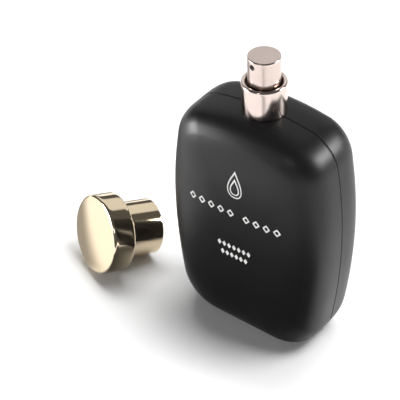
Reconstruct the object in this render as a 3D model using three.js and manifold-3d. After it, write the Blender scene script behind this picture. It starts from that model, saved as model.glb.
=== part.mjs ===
// Aftershave bottle with a fine-mist pump, standing with its cap off and lying beside it.
// Millimetres, +Z up. The origin is the centre of the flat base. The front face looks along -Y.
// Turned sections go down the inside and up the outside, so that their faces point outwards.

import * as THREE from 'three';
import Module from 'manifold-3d';
import { LoftGeometry } from 'three/addons/geometries/LoftGeometry.js';
import { mergeVertices } from 'three/addons/utils/BufferGeometryUtils.js';

const wasm = await Module();
wasm.setup();

// ---- driving dimensions ----

// Facets around a turned piece: shown and close-fitting pieces, inner pieces, and tiny ones.
const FINE_SEGMENTS = 32;
const INNER_SEGMENTS = 20;
const SMALL_SEGMENTS = 12;
// Clearance between pieces that sit against each other.
const GAP = 0.1;

// The pillow of the glass: angles are how far each arc of the front outline turns, in degrees.
// Squareness is the exponent of the curve that closes the pillow from the seam to the faces.
const BODY = {
  halfWidth: 35.4,
  halfDepth: 20,
  widest: 53.3,
  top: 102,
  base: -0.5,
  upperSideTurn: 10.25,
  topTurn: 11.3,
  lowerSideTurn: 8.76,
  topCorner: 15.1,
  baseCorner: 17.2,
  sideSquareness: 3.7,
  topSquareness: 4.5,
  baseSquareness: 4,
};
const WALL = { side: 6, front: 6.2, shoulder: 6, base: 10 };

const NECK = { radius: 6.6, bead: 7.3, bore: 4.9, height: 4.7, beadHeight: 2.3, beadSlope: 0.7 };
const NECK_TOP = BODY.top + NECK.height;

const COLLAR = { radius: 8.5, bore: 7.85, lip: 6.8, base: 101.95, top: 114.55, lipDepth: 2, foot: 0.3 };
const FERRULE = { radius: 7.75, wall: 0.35, tower: 4.95, towerHeight: 1.95, throat: 2.6, crimp: 0.5 };
const GASKET = { inner: 4.6, outer: 7.2, thickness: 0.7 };

const HOUSING = {
  flange: 6.9,
  flangeThickness: 0.6,
  radius: 4.4,
  bore: 3.6,
  floor: 0.7,
  chamberDepth: 23.4,
  valveRadius: 2.9,
  valveBore: 1.6,
  cageHeight: 1.9,
  nippleRadius: 2.4,
  socketBore: 1.5,
  socketDepth: 5.7,
  inlet: 0.7,
  inletLength: 0.5,
  keeper: 1.05,
  keeperThickness: 0.3,
};
const BALL_RADIUS = 1.2;
const TUBE = { radius: 1.4, bore: 0.9, foot: 2.2, sway: 9 };

const STROKE = 4.2;
const STEM = { radius: 1.6, bore: 0.6, top: 118.7, sleeve: 1.5, shoulder: 2.9, shoulderHeight: 1, port: 0.3 };
const WASHER = { inner: 1.7, outer: 3.4, thickness: 0.3 };
const TURRET = { plug: 3.5, collar: 4.45, bore: 1.75, plugDepth: 3 };
const PISTON = {
  outer: 3.5,
  inner: 1.62,
  drop: 4,
  height: 3.6,
  sleeveOverlap: 3,
  lipInner: 2.2,
  lipOuter: 2.6,
  notch: 2.9,
  notchHeight: 1.6,
  skirt: 3.2,
  skirtRise: 0.2,
  shoulder: 0.6,
};
const POPPET = {
  flange: 2.9,
  flangeThickness: 0.4,
  coneTop: 1.45,
  coneHeight: 1.75,
  clearance: 0.15,
  pin: 0.45,
  pinLength: 5,
  guide: 0.9,
  guideLength: 2.4,
};
const VALVE_SPRING = { radius: 2.3, wire: 0.22, turns: 4 };
const RETURN_SPRING = { radius: 2.6, wire: 0.3, turns: 5 };

const ACTUATOR = { radius: 6.11, top: 125.15, skin: 0.4, edge: 0.5, turn: -10.2, channel: 0.5 };
const CORE = { radius: 5.6, skirt: 0.45, recess: 1.9, socket: 1.65, topGap: 0.55 };
const NOZZLE = {
  height: 122.65,
  hole: 1.15,
  radius: 1.05,
  seat: 3.1,
  face: 5.55,
  orifice: 0.2,
  dish: 0.75,
  dishDepth: 0.6,
  swirl: 0.6,
  swirlDepth: 0.8,
};

const CAP = {
  headRadius: 16.8,
  neckRadius: 11.9,
  neckLength: 16.5,
  length: 26.95,
  dome: 0.6,
  wall: 0.9,
  headEdge: 1.2,
  mouthEdge: 0.45,
  yaw: -21.7,
  mouthX: -62.3,
  mouthY: 2.6,
};
const LINER = { bore: 8.6, wall: 1.1, depth: 23.6, roof: 1, rim: 0.5, flange: 0.8, leadIn: 0.6 };
const WEIGHT = { inner: 9.85, base: 3, height: 13 };

// ---- finishes ----

const finish = (color, roughness, metalness = 0) =>
  new THREE.MeshStandardMaterial({ color, roughness, metalness });

const COATED_GLASS = finish(0x1c1c1e, 0.45);
const ROSE_METAL = finish(0xd9bda6, 0.18, 1);
const PALE_METAL = finish(0xe6d3c4, 0.22, 1);
const GOLD_METAL = finish(0xd8b878, 0.1, 1);
const BARE_ALUMINIUM = finish(0xc9ccd0, 0.35, 1);
const STEEL = finish(0xb8bcc2, 0.25, 1);
const NATURAL_PLASTIC = finish(0xe9e7e0, 0.5);
const BLACK_PLASTIC = finish(0x202022, 0.5);
const SEAL_RUBBER = finish(0x4a4a4c, 0.8);

// ---- shaping helpers ----

const radians = THREE.MathUtils.degToRad;

// Points on a circle in the section plane, from one angle to another, in degrees.
function arcPoints(centreR, centreZ, radius, from, to, steps) {
  const points = [];
  for (let i = 0; i <= steps; i++) {
    const angle = radians(from + ((to - from) * i) / steps);
    points.push([centreR + radius * Math.cos(angle), centreZ + radius * Math.sin(angle)]);
  }
  return points;
}

// A solid turned about +Z from [radius, height] points.
function turned(points, segments = INNER_SEGMENTS) {
  const profile = points.map(([r, z]) => new THREE.Vector2(r, z));
  const geometry = new THREE.LatheGeometry(profile, segments);
  geometry.rotateX(Math.PI / 2);
  return geometry;
}

// A turned ring: its section closes on itself.
function turnedRing(points, segments) {
  return turned([...points, points[0]], segments);
}

function plainRing(inner, outer, bottom, top, segments) {
  return turnedRing([[inner, top], [inner, bottom], [outer, bottom], [outer, top]], segments);
}

// A round bar along -Y, from one distance to another, at a height.
function barAlongFront(radius, from, to, height) {
  const geometry = new THREE.CylinderGeometry(radius, radius, to - from, SMALL_SEGMENTS);
  geometry.translate(0, -(from + to) / 2, height);
  return geometry;
}

// The closed solid of a geometry, with its shared vertices merged and its slivers dropped.
function solidOf(geometry) {
  const bare = new THREE.BufferGeometry();
  bare.setAttribute('position', geometry.getAttribute('position'));
  bare.setIndex(geometry.getIndex());
  const welded = mergeVertices(bare);
  const corners = [];
  for (let i = 0; i < welded.index.count; i += 3) {
    const [a, b, c] = [0, 1, 2].map((k) => welded.index.getX(i + k));
    if (a !== b && b !== c && c !== a) corners.push(a, b, c);
  }
  const mesh = new wasm.Mesh({
    numProp: 3,
    vertProperties: new Float32Array(welded.attributes.position.array),
    triVerts: new Uint32Array(corners),
  });
  return new wasm.Manifold(mesh);
}

function geometryOf(solid) {
  const mesh = solid.getMesh();
  const geometry = new THREE.BufferGeometry();
  geometry.setAttribute('position', new THREE.BufferAttribute(mesh.vertProperties, 3));
  geometry.setIndex(new THREE.BufferAttribute(mesh.triVerts, 1));
  geometry.computeVertexNormals();
  return geometry;
}

function named(name, geometry, material) {
  const mesh = new THREE.Mesh(geometry, material);
  mesh.name = name;
  return mesh;
}

function groupOf(...children) {
  const group = new THREE.Group();
  group.add(...children);
  return group;
}

// ---- glass bottle ----

// Radii of the side and top arcs that meet the corner arc smoothly and give the half width and
// the rise: the two sums of the arcs' run across and up, solved for both radii.
function upperRadii(shape) {
  const side = radians(shape.upperSideTurn);
  const top = radians(shape.topTurn);
  const across = shape.halfWidth - shape.topCorner * (Math.cos(side) - Math.sin(top));
  const up = shape.top - shape.widest - shape.topCorner * (Math.cos(top) - Math.sin(side));
  const sideRun = 1 - Math.cos(side);
  const topRun = 1 - Math.cos(top);
  const scale = sideRun * topRun - Math.sin(side) * Math.sin(top);
  return {
    side: (across * topRun - up * Math.sin(top)) / scale,
    top: (sideRun * up - Math.sin(side) * across) / scale,
  };
}

// Radius of the lower side arc, which runs from the widest point to the base corner.
function lowerSideRadius(shape) {
  const sine = Math.sin(radians(shape.lowerSideTurn));
  return (shape.widest - shape.base - shape.baseCorner * (1 - sine)) / sine;
}

// Walks tangent arcs from the widest point. Each is [radius, from, to, steps], where the angles
// are those of the outward normal, in degrees.
function walkArcs(shape, arcs) {
  const points = [{ x: shape.halfWidth, z: 0, normal: 0 }];
  for (const [radius, from, to, steps] of arcs) {
    const start = points.at(-1);
    for (let i = 1; i <= steps; i++) {
      const normal = radians(from + ((to - from) * i) / steps);
      points.push({
        x: start.x + radius * (Math.cos(normal) - Math.cos(radians(from))),
        z: start.z + radius * (Math.sin(normal) - Math.sin(radians(from))),
        normal,
      });
    }
  }
  return points;
}

// The front outline about the widest point, anticlockwise from the middle of the base.
function frontOutline(shape) {
  const radii = upperRadii(shape);
  const upper = walkArcs(shape, [
    [radii.side, 0, shape.upperSideTurn, 3],
    [shape.topCorner, shape.upperSideTurn, 90 - shape.topTurn, 5],
    [radii.top, 90 - shape.topTurn, 90, 3],
  ]);
  const lower = walkArcs(shape, [
    [lowerSideRadius(shape), 0, -shape.lowerSideTurn, 3],
    [shape.baseCorner, -shape.lowerSideTurn, -90, 6],
  ]);
  const middle = { x: 0, z: lower.at(-1).z, normal: -Math.PI / 2 };
  const right = [middle, ...lower.toReversed(), ...upper.slice(1)];
  const left = right.slice(1, -1).toReversed();
  return [...right, ...left.map(({ x, z, normal }) => ({ x: -x, z, normal: Math.PI - normal }))];
}

// The exponent blends from the sides' value to the top's or the base's with the normal.
function squarenessAt(shape, normal) {
  const rise = Math.sin(normal) ** 2;
  const end = Math.sin(normal) > 0 ? shape.topSquareness : shape.baseSquareness;
  return shape.sideSquareness * (1 - rise) + end * rise;
}

// A pillow: level t runs from the back face at -1 to the front face at 1. At angle a = t x 90
// degrees and exponent n, the outline is scaled by cos(a)^(2/n) and moved out by sin(a)^(2/n)
// of the half depth. What would sink below the floor of the pillow is laid flat on it.
function pillow(shape, levels, floor) {
  const outline = frontOutline(shape);
  const lastLevel = radians(88);
  const sections = [];
  for (let i = 0; i <= levels; i++) {
    const angle = lastLevel * ((2 * i) / levels - 1);
    sections.push(outline.map(({ x, z, normal }) => {
      const power = 2 / squarenessAt(shape, normal);
      const scale = Math.cos(angle) ** power;
      const depth = shape.halfDepth * Math.sign(angle) * Math.abs(Math.sin(angle)) ** power;
      return new THREE.Vector3(x * scale, -depth, Math.max(shape.widest + z * scale, floor));
    }));
  }
  return new LoftGeometry(sections, { capStart: true, capEnd: true });
}

function glassBottle() {
  const inside = {
    ...BODY,
    halfWidth: BODY.halfWidth - WALL.side,
    halfDepth: BODY.halfDepth - WALL.front,
    top: BODY.top - WALL.shoulder,
    base: WALL.base,
    topCorner: BODY.topCorner - WALL.shoulder / 2,
    baseCorner: BODY.baseCorner - WALL.side / 2,
  };
  const root = BODY.top - WALL.shoulder / 2;
  const neck = turned([
    [0, root],
    [NECK.radius, root],
    [NECK.radius, NECK_TOP - NECK.beadHeight - NECK.beadSlope],
    [NECK.bead, NECK_TOP - NECK.beadHeight],
    [NECK.bead, NECK_TOP - GAP],
    [NECK.bead - GAP, NECK_TOP],
    [0, NECK_TOP],
  ], FINE_SEGMENTS);
  const boreBottom = BODY.top - 2 * WALL.shoulder;
  const boreTop = NECK_TOP + 1;
  const bore = turned([[0, boreBottom], [NECK.bore, boreBottom], [NECK.bore, boreTop], [0, boreTop]]);
  const outside = solidOf(pillow(BODY, 18, 0)).add(solidOf(neck));
  const hollow = solidOf(pillow(inside, 8, WALL.base)).add(solidOf(bore));
  return named('glass_bottle', geometryOf(outside.subtract(hollow)), COATED_GLASS);
}

// ---- closure on the neck ----

const FLANGE_BASE = NECK_TOP + GAP + GASKET.thickness + GAP;
const FLANGE_TOP = FLANGE_BASE + HOUSING.flangeThickness;
const PLATE_TOP = FLANGE_TOP + GAP + FERRULE.wall;
const TOWER_TOP = PLATE_TOP + FERRULE.towerHeight;

function neckGasket() {
  const bottom = NECK_TOP + GAP;
  const ring = plainRing(GASKET.inner, GASKET.outer, bottom, bottom + GASKET.thickness, FINE_SEGMENTS);
  return named('neck_gasket', ring, SEAL_RUBBER);
}

function crimpFerrule() {
  const inner = FERRULE.radius - FERRULE.wall;
  const beadUnder = NECK_TOP - NECK.beadHeight;
  const section = [
    [FERRULE.throat, TOWER_TOP],
    [FERRULE.throat, TOWER_TOP - FERRULE.wall],
    [FERRULE.tower - FERRULE.wall, TOWER_TOP - FERRULE.wall],
    [FERRULE.tower - FERRULE.wall, PLATE_TOP - FERRULE.wall],
    [inner, PLATE_TOP - FERRULE.wall],
    [inner, beadUnder - GAP],
    [inner - FERRULE.crimp, beadUnder - NECK.beadSlope],
    [inner - FERRULE.crimp, beadUnder - NECK.beadSlope - FERRULE.wall],
    [FERRULE.radius, beadUnder - NECK.beadSlope],
    [FERRULE.radius, PLATE_TOP - FERRULE.wall],
    [FERRULE.radius - FERRULE.wall, PLATE_TOP],
    [FERRULE.tower, PLATE_TOP],
    [FERRULE.tower, TOWER_TOP],
  ];
  return named('crimp_ferrule', turnedRing(section, FINE_SEGMENTS), BARE_ALUMINIUM);
}

// The dress collar: a drawn tube whose top is rolled inwards to a round lip.
function collar() {
  const roll = (COLLAR.radius - COLLAR.lip) / 2;
  const section = [
    [COLLAR.lip, COLLAR.top - COLLAR.lipDepth],
    [COLLAR.bore, COLLAR.top - COLLAR.lipDepth - roll],
    [COLLAR.bore, COLLAR.base],
    [COLLAR.radius - COLLAR.foot, COLLAR.base],
    [COLLAR.radius, COLLAR.base + COLLAR.foot],
    ...arcPoints(COLLAR.radius - roll, COLLAR.top - roll, roll, 0, 180, 6),
  ];
  return named('collar', turnedRing(section, FINE_SEGMENTS), ROSE_METAL);
}

// ---- pump ----

const PLUG_BASE = FLANGE_TOP - TURRET.plugDepth;
const SHOULDER_TOP = PLUG_BASE - GAP - WASHER.thickness - GAP;
const SHOULDER_BASE = SHOULDER_TOP - STEM.shoulderHeight;
const PISTON_TOP = SHOULDER_BASE - PISTON.drop;
const PISTON_BASE = PISTON_TOP - PISTON.height;
const SLEEVE_BASE = PISTON_TOP - PISTON.sleeveOverlap;
const CONE_TOP = SLEEVE_BASE - POPPET.clearance;
const CONE_BASE = CONE_TOP - POPPET.coneHeight;
const POPPET_SEAT = CONE_BASE - POPPET.flangeThickness;
const CHAMBER_FLOOR = FLANGE_TOP - HOUSING.chamberDepth;
const KEEPER_BASE = CHAMBER_FLOOR - HOUSING.keeperThickness;
const SEAT_TOP = KEEPER_BASE - HOUSING.cageHeight;
const SEAT_BASE = SEAT_TOP - (HOUSING.valveBore - HOUSING.inlet);
const SOCKET_TOP = SEAT_BASE - HOUSING.inletLength;
const SOCKET_BASE = SOCKET_TOP - HOUSING.socketDepth;

// The plastic body of the pump: a chamber hung from its flange, the ball valve's cage below it
// with a keeper lip above and a 45 degree seat below, and the socket for the dip tube.
function pumpHousing() {
  const section = [
    [HOUSING.bore, FLANGE_TOP],
    [HOUSING.bore, CHAMBER_FLOOR],
    [HOUSING.keeper, CHAMBER_FLOOR],
    [HOUSING.keeper, KEEPER_BASE],
    [HOUSING.valveBore, KEEPER_BASE],
    [HOUSING.valveBore, SEAT_TOP],
    [HOUSING.inlet, SEAT_BASE],
    [HOUSING.inlet, SOCKET_TOP],
    [HOUSING.socketBore, SOCKET_TOP],
    [HOUSING.socketBore, SOCKET_BASE],
    [HOUSING.nippleRadius, SOCKET_BASE],
    [HOUSING.nippleRadius, SOCKET_TOP],
    [HOUSING.valveRadius, SEAT_BASE],
    [HOUSING.valveRadius, CHAMBER_FLOOR - HOUSING.floor],
    [HOUSING.radius, CHAMBER_FLOOR - HOUSING.floor],
    [HOUSING.radius, FLANGE_BASE],
    [HOUSING.flange, FLANGE_BASE],
    [HOUSING.flange, FLANGE_TOP],
  ];
  return named('pump_housing', turnedRing(section), NATURAL_PLASTIC);
}

// The turret closes the chamber: its plug fits the bore and its collar fills the ferrule tower.
function turret() {
  const section = [
    [TURRET.bore, TOWER_TOP - FERRULE.wall - GAP],
    [TURRET.bore, PLUG_BASE],
    [TURRET.plug, PLUG_BASE],
    [TURRET.plug, FLANGE_TOP + GAP],
    [TURRET.collar, FLANGE_TOP + GAP],
    [TURRET.collar, TOWER_TOP - FERRULE.wall - GAP],
  ];
  return named('turret', turnedRing(section), NATURAL_PLASTIC);
}

function stemWasher() {
  const top = PLUG_BASE - GAP;
  const ring = plainRing(WASHER.inner, WASHER.outer, top - WASHER.thickness, top);
  return named('stem_washer', ring, SEAL_RUBBER);
}

// The ball rests on the cone: its centre stands sqrt(2) radii above the cone's apex.
function inletBall() {
  const apex = SEAT_BASE - HOUSING.inlet;
  const ball = new THREE.SphereGeometry(BALL_RADIUS, SMALL_SEGMENTS, 8);
  ball.translate(0, 0, apex + Math.SQRT2 * BALL_RADIUS + GAP);
  return named('inlet_ball', ball, STEEL);
}

// The dip tube hangs straight from its socket and curves towards a corner of the base.
function dipTube() {
  const bottom = WALL.base + TUBE.foot;
  const top = SOCKET_TOP - GAP;
  const route = new THREE.CubicBezierCurve3(
    new THREE.Vector3(0, 0, top),
    new THREE.Vector3(0, 0, top - 25),
    new THREE.Vector3(0, 0, bottom + 25),
    new THREE.Vector3(TUBE.sway, 0, bottom),
  );
  const section = new THREE.Shape().absarc(0, 0, TUBE.radius, 0, 2 * Math.PI);
  section.holes.push(new THREE.Path().absarc(0, 0, TUBE.bore, 0, 2 * Math.PI));
  const tube = new THREE.ExtrudeGeometry(section, { extrudePath: route, steps: 16, curveSegments: 5 });
  return named('dip_tube', tube, NATURAL_PLASTIC);
}

class Helix extends THREE.Curve {
  constructor(radius, bottom, top, turns) {
    super();
    Object.assign(this, { radius, bottom, top, turns });
  }

  getPoint(t, target = new THREE.Vector3()) {
    const angle = 2 * Math.PI * this.turns * t;
    const height = THREE.MathUtils.lerp(this.bottom, this.top, t);
    return target.set(this.radius * Math.cos(angle), this.radius * Math.sin(angle), height);
  }
}

// A coil spring that fills the height between two seats, with its wire just clear of both.
function coilSpring(name, spring, bottomSeat, topSeat) {
  const margin = spring.wire + GAP;
  const route = new Helix(spring.radius, bottomSeat + margin, topSeat - margin, spring.turns);
  const section = new THREE.Shape().absarc(0, 0, spring.wire, 0, 2 * Math.PI);
  const steps = 12 * spring.turns;
  const coil = new THREE.ExtrudeGeometry(section, { extrudePath: route, steps, curveSegments: 3 });
  return named(name, coil, STEEL);
}

// The stem: a tube from the chamber to the actuator, with a shoulder that stops under the
// turret and a cross port that the piston uncovers.
function stem() {
  const tube = turnedRing([
    [STEM.bore, STEM.top],
    [STEM.bore, SLEEVE_BASE],
    [STEM.sleeve, SLEEVE_BASE],
    [STEM.sleeve, SHOULDER_BASE],
    [STEM.shoulder, SHOULDER_BASE],
    [STEM.shoulder, SHOULDER_TOP],
    [STEM.radius, SHOULDER_TOP],
    [STEM.radius, STEM.top],
  ]);
  const port = barAlongFront(STEM.port, -STEM.shoulder, STEM.shoulder, SLEEVE_BASE + 2 * STEM.port);
  return named('stem', geometryOf(solidOf(tube).subtract(solidOf(port))), NATURAL_PLASTIC);
}

// The piston: a bush on the stem's sleeve with a flared skirt that seals against the chamber.
function piston() {
  const section = [
    [PISTON.inner, PISTON_TOP],
    [PISTON.inner, CONE_TOP - GAP],
    [PISTON.lipInner, PISTON_BASE],
    [PISTON.lipOuter, PISTON_BASE],
    [PISTON.notch, PISTON_BASE + PISTON.notchHeight],
    [PISTON.skirt, PISTON_BASE + PISTON.skirtRise],
    [PISTON.outer, PISTON_BASE + PISTON.skirtRise],
    [PISTON.outer, PISTON_TOP - PISTON.shoulder],
    [PISTON.skirt, PISTON_TOP],
  ];
  return named('piston', turnedRing(section), NATURAL_PLASTIC);
}

// The poppet: its pin plugs into the stem, its cone is the piston's seat, and its flange and
// guide take the return spring.
function poppet() {
  const tip = POPPET_SEAT - POPPET.guideLength;
  const section = [
    [0, tip],
    [POPPET.guide, tip],
    [POPPET.guide, POPPET_SEAT],
    [POPPET.flange, POPPET_SEAT],
    [POPPET.flange, CONE_BASE],
    [POPPET.coneTop, CONE_TOP],
    [POPPET.pin, CONE_TOP],
    [POPPET.pin, CONE_TOP + POPPET.pinLength],
    [0, CONE_TOP + POPPET.pinLength],
  ];
  return named('poppet', turned(section), NATURAL_PLASTIC);
}

// ---- actuator ----

const ACTUATOR_BASE = PLATE_TOP + STROKE + GAP;

// The plastic core: a socket for the stem's top, a channel up to the nozzle's height, a pocket
// for the nozzle, and a skirt that keeps the metal sleeve round.
function actuatorCore() {
  const underside = ACTUATOR_BASE + CORE.recess;
  const stemEnd = STEM.top + GAP;
  const top = ACTUATOR.top - CORE.topGap;
  const block = turned([
    [0, NOZZLE.height + ACTUATOR.channel],
    [ACTUATOR.channel, NOZZLE.height + ACTUATOR.channel],
    [ACTUATOR.channel, stemEnd],
    [CORE.socket, stemEnd],
    [CORE.socket, underside],
    [CORE.radius - CORE.skirt, underside],
    [CORE.radius - CORE.skirt, ACTUATOR_BASE],
    [CORE.radius, ACTUATOR_BASE],
    [CORE.radius, top],
    [0, top],
  ], FINE_SEGMENTS);
  const pocket = barAlongFront(NOZZLE.hole, NOZZLE.seat - GAP, CORE.radius + 1, NOZZLE.height);
  const channel = barAlongFront(ACTUATOR.channel, 0, NOZZLE.seat, NOZZLE.height);
  const core = solidOf(block).subtract(solidOf(pocket)).subtract(solidOf(channel));
  return named('actuator_core', geometryOf(core), NATURAL_PLASTIC);
}

// The metal sleeve: a drawn cup with a rounded top edge and a hole in front of the nozzle.
function actuatorSleeve() {
  const inner = ACTUATOR.radius - ACTUATOR.skin;
  const edge = ACTUATOR.radius - ACTUATOR.edge;
  const cup = turned([
    [0, ACTUATOR.top - ACTUATOR.skin],
    [inner, ACTUATOR.top - ACTUATOR.skin],
    [inner, ACTUATOR_BASE],
    [ACTUATOR.radius, ACTUATOR_BASE],
    ...arcPoints(edge, ACTUATOR.top - ACTUATOR.edge, ACTUATOR.edge, 0, 90, 3),
    [0, ACTUATOR.top],
  ], FINE_SEGMENTS);
  const hole = barAlongFront(NOZZLE.hole, CORE.radius, ACTUATOR.radius + 1, NOZZLE.height);
  return named('actuator_sleeve', geometryOf(solidOf(cup).subtract(solidOf(hole))), PALE_METAL);
}

// The nozzle: a small cup, dished in front, with the spray orifice through it.
function nozzleInsert() {
  const section = [
    [NOZZLE.orifice, NOZZLE.face - NOZZLE.dishDepth],
    [NOZZLE.orifice, NOZZLE.seat + NOZZLE.swirlDepth],
    [NOZZLE.swirl, NOZZLE.seat],
    [NOZZLE.radius, NOZZLE.seat],
    [NOZZLE.radius, NOZZLE.face],
    [NOZZLE.dish, NOZZLE.face],
  ];
  const cup = turnedRing(section, SMALL_SEGMENTS);
  cup.rotateX(Math.PI / 2);
  cup.translate(0, 0, NOZZLE.height);
  return named('nozzle_insert', cup, BLACK_PLASTIC);
}

function actuator() {
  const group = groupOf(actuatorCore(), actuatorSleeve(), nozzleInsert());
  group.rotation.z = radians(ACTUATOR.turn);
  return group;
}

// ---- cap, in its own frame: the mouth at z = 0 and the face at the top ----

function capShell() {
  const headBack = CAP.neckLength;
  const headIn = CAP.headRadius - CAP.headEdge;
  const innerHead = CAP.headRadius - CAP.wall;
  const innerNeck = CAP.neckRadius - CAP.wall;
  const ceiling = CAP.length - CAP.wall;
  const domeRadius = (headIn ** 2 + CAP.dome ** 2) / (2 * CAP.dome);
  const domeAngle = THREE.MathUtils.radToDeg(Math.asin(headIn / domeRadius));
  const domeCentre = CAP.length + CAP.dome - domeRadius;
  const section = [
    [0, ceiling],
    [innerHead, ceiling],
    [innerHead, headBack + CAP.wall],
    [innerNeck, headBack + CAP.wall],
    [innerNeck, 0],
    [CAP.neckRadius - CAP.mouthEdge, 0],
    ...arcPoints(CAP.neckRadius - CAP.mouthEdge, CAP.mouthEdge, CAP.mouthEdge, -60, 0, 2),
    [CAP.neckRadius, headBack],
    ...arcPoints(headIn, headBack + CAP.headEdge, CAP.headEdge, -90, 0, 3),
    ...arcPoints(headIn, CAP.length - CAP.headEdge, CAP.headEdge, 0, 90, 3),
    ...arcPoints(0, domeCentre, domeRadius, 90 - domeAngle, 90, 3).slice(1),
  ];
  return named('cap_shell', turned(section, FINE_SEGMENTS), GOLD_METAL);
}

// The liner: a plastic cup that grips the collar and covers the actuator.
function capLiner() {
  const outer = LINER.bore + LINER.wall;
  const flange = CAP.neckRadius - CAP.wall - GAP;
  const ceiling = LINER.rim + LINER.depth;
  const section = [
    [0, ceiling],
    [LINER.bore, ceiling],
    [LINER.bore, LINER.rim + LINER.leadIn],
    [LINER.bore + LINER.leadIn, LINER.rim],
    [flange, LINER.rim],
    [flange, LINER.rim + LINER.flange],
    [outer, LINER.rim + LINER.flange],
    [outer, ceiling + LINER.roof],
    [0, ceiling + LINER.roof],
  ];
  return named('cap_liner', turned(section, FINE_SEGMENTS), BLACK_PLASTIC);
}

function capWeight() {
  const outer = CAP.neckRadius - CAP.wall - GAP;
  const ring = plainRing(WEIGHT.inner, outer, WEIGHT.base, WEIGHT.base + WEIGHT.height, FINE_SEGMENTS);
  return named('cap_weight', ring, STEEL);
}

// The cap lies on the back edge of its head and the edge of its mouth. Its axis leans by the
// slope of the line that touches both round edges, and the mouth stands as high as that gives.
function cap() {
  const mouthRadius = CAP.neckRadius - CAP.mouthEdge;
  const out = CAP.headRadius - CAP.headEdge - mouthRadius;
  const along = CAP.neckLength + CAP.headEdge - CAP.mouthEdge;
  const lean = Math.atan2(out, along) + Math.asin((CAP.headEdge - CAP.mouthEdge) / Math.hypot(out, along));
  const height = CAP.mouthEdge * (1 - Math.sin(lean)) + mouthRadius * Math.cos(lean);
  const group = groupOf(capShell(), capLiner(), capWeight());
  group.rotation.set(Math.PI / 2 - lean, 0, radians(CAP.yaw), 'ZXY');
  group.position.set(CAP.mouthX, CAP.mouthY, height);
  return group;
}

// ---- assembly ----

const aftershaveBottle = groupOf(
  glassBottle(),
  neckGasket(),
  crimpFerrule(),
  collar(),
  pumpHousing(),
  turret(),
  stemWasher(),
  inletBall(),
  dipTube(),
  coilSpring('return_spring', RETURN_SPRING, CHAMBER_FLOOR, POPPET_SEAT),
  stem(),
  coilSpring('valve_spring', VALVE_SPRING, PISTON_TOP, SHOULDER_BASE),
  piston(),
  poppet(),
  actuator(),
  cap(),
);

export default aftershaveBottle;
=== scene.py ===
"""Looks of an aftershave bottle: a coated pillow of glass with a fine-mist pump, and its cap.

Every size is in millimetres, and becomes metres where a mesh is made. Surfaces are grids of
points worked out as whole arrays: a shape is a function of two parameters, or a section carried
along a path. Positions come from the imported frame.
"""

import logging
import math
from collections.abc import Sequence
from dataclasses import dataclass, field, replace
from enum import Enum

import bpy
import numpy as np
from mathutils import Euler, Matrix, Vector


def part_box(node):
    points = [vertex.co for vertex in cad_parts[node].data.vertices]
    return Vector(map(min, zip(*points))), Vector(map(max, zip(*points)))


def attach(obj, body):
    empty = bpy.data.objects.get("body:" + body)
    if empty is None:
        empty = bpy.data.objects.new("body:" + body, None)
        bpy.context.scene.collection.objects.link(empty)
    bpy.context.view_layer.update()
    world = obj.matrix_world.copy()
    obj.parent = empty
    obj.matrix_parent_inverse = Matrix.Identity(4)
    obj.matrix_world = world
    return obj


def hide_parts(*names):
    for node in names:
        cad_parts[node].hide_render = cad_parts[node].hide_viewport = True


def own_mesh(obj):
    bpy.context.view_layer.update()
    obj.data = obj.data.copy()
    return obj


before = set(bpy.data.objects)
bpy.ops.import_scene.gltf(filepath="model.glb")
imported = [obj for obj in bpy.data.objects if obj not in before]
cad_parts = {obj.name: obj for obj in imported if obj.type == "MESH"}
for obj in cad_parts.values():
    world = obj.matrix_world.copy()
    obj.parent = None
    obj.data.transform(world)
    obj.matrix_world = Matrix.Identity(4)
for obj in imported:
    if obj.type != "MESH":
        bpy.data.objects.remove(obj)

LOG = logging.getLogger("aftershave_bottle")
# A millimetre, in metres.
MM = 0.001
# The play between two pieces that face each other, in millimetres.
GAP = 0.1
# Points closer than this, in millimetres, are one point.
SAME_PLACE = 1e-5
# Edges that turn by more than this many degrees are shaded sharp.
CREASE = 32.0

Array = np.ndarray
Corner = tuple[float, float, float]
Material = bpy.types.Material
Piece = bpy.types.Object


# ---- the frame's places ----


@dataclass(frozen=True)
class Extent:
    """Where a node lies, in millimetres: its largest reach from the pump's axis, low and high."""

    radius: float
    low: float
    high: float

    @classmethod
    def of(cls, node: str) -> "Extent":
        """The extent of one node of the frame.

        Args:
            node: The node's name.

        Returns:
            Its extent.
        """
        low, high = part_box(node)
        reach = max(abs(low.y), abs(high.y))
        return cls(reach / MM, low.z / MM, high.z / MM)


# ---- meshes from arrays ----


class Joining(Enum):
    """How one solid is combined with another."""

    ADD = "UNION"
    CUT = "DIFFERENCE"


def grid_faces(rows: int, columns: int, wrap_rows: bool) -> Array:
    """Quads over a grid of points, numbered row by row, whose last column joins the first.

    Args:
        rows: Number of rows.
        columns: Number of columns.
        wrap_rows: True where the last row joins the first too.

    Returns:
        An array of four point numbers for each quad.
    """
    row = np.arange(rows if wrap_rows else rows - 1)[:, None]
    column = np.arange(columns)[None, :]
    below, beside = (row + 1) % rows, (column + 1) % columns
    corners = [row * columns + column, row * columns + beside]
    corners += [below * columns + beside, below * columns + column]
    return np.stack([np.broadcast_to(c, (row.size, column.size)) for c in corners], -1).reshape(-1, 4)


def signed_volume(points: Array, quads: Array) -> float:
    """Volume inside a closed surface: the sum of the tetrahedra from the origin to each half quad.

    Args:
        points: Points of the surface.
        quads: Four point numbers for each face.

    Returns:
        The volume, negative where the faces look inwards.
    """
    a, b, c, d = (points[quads[:, k]] for k in range(4))
    halves = np.cross(b, c) + np.cross(c, d)
    return float(np.einsum("ij,ij->i", a, halves).sum() / 6)


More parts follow.
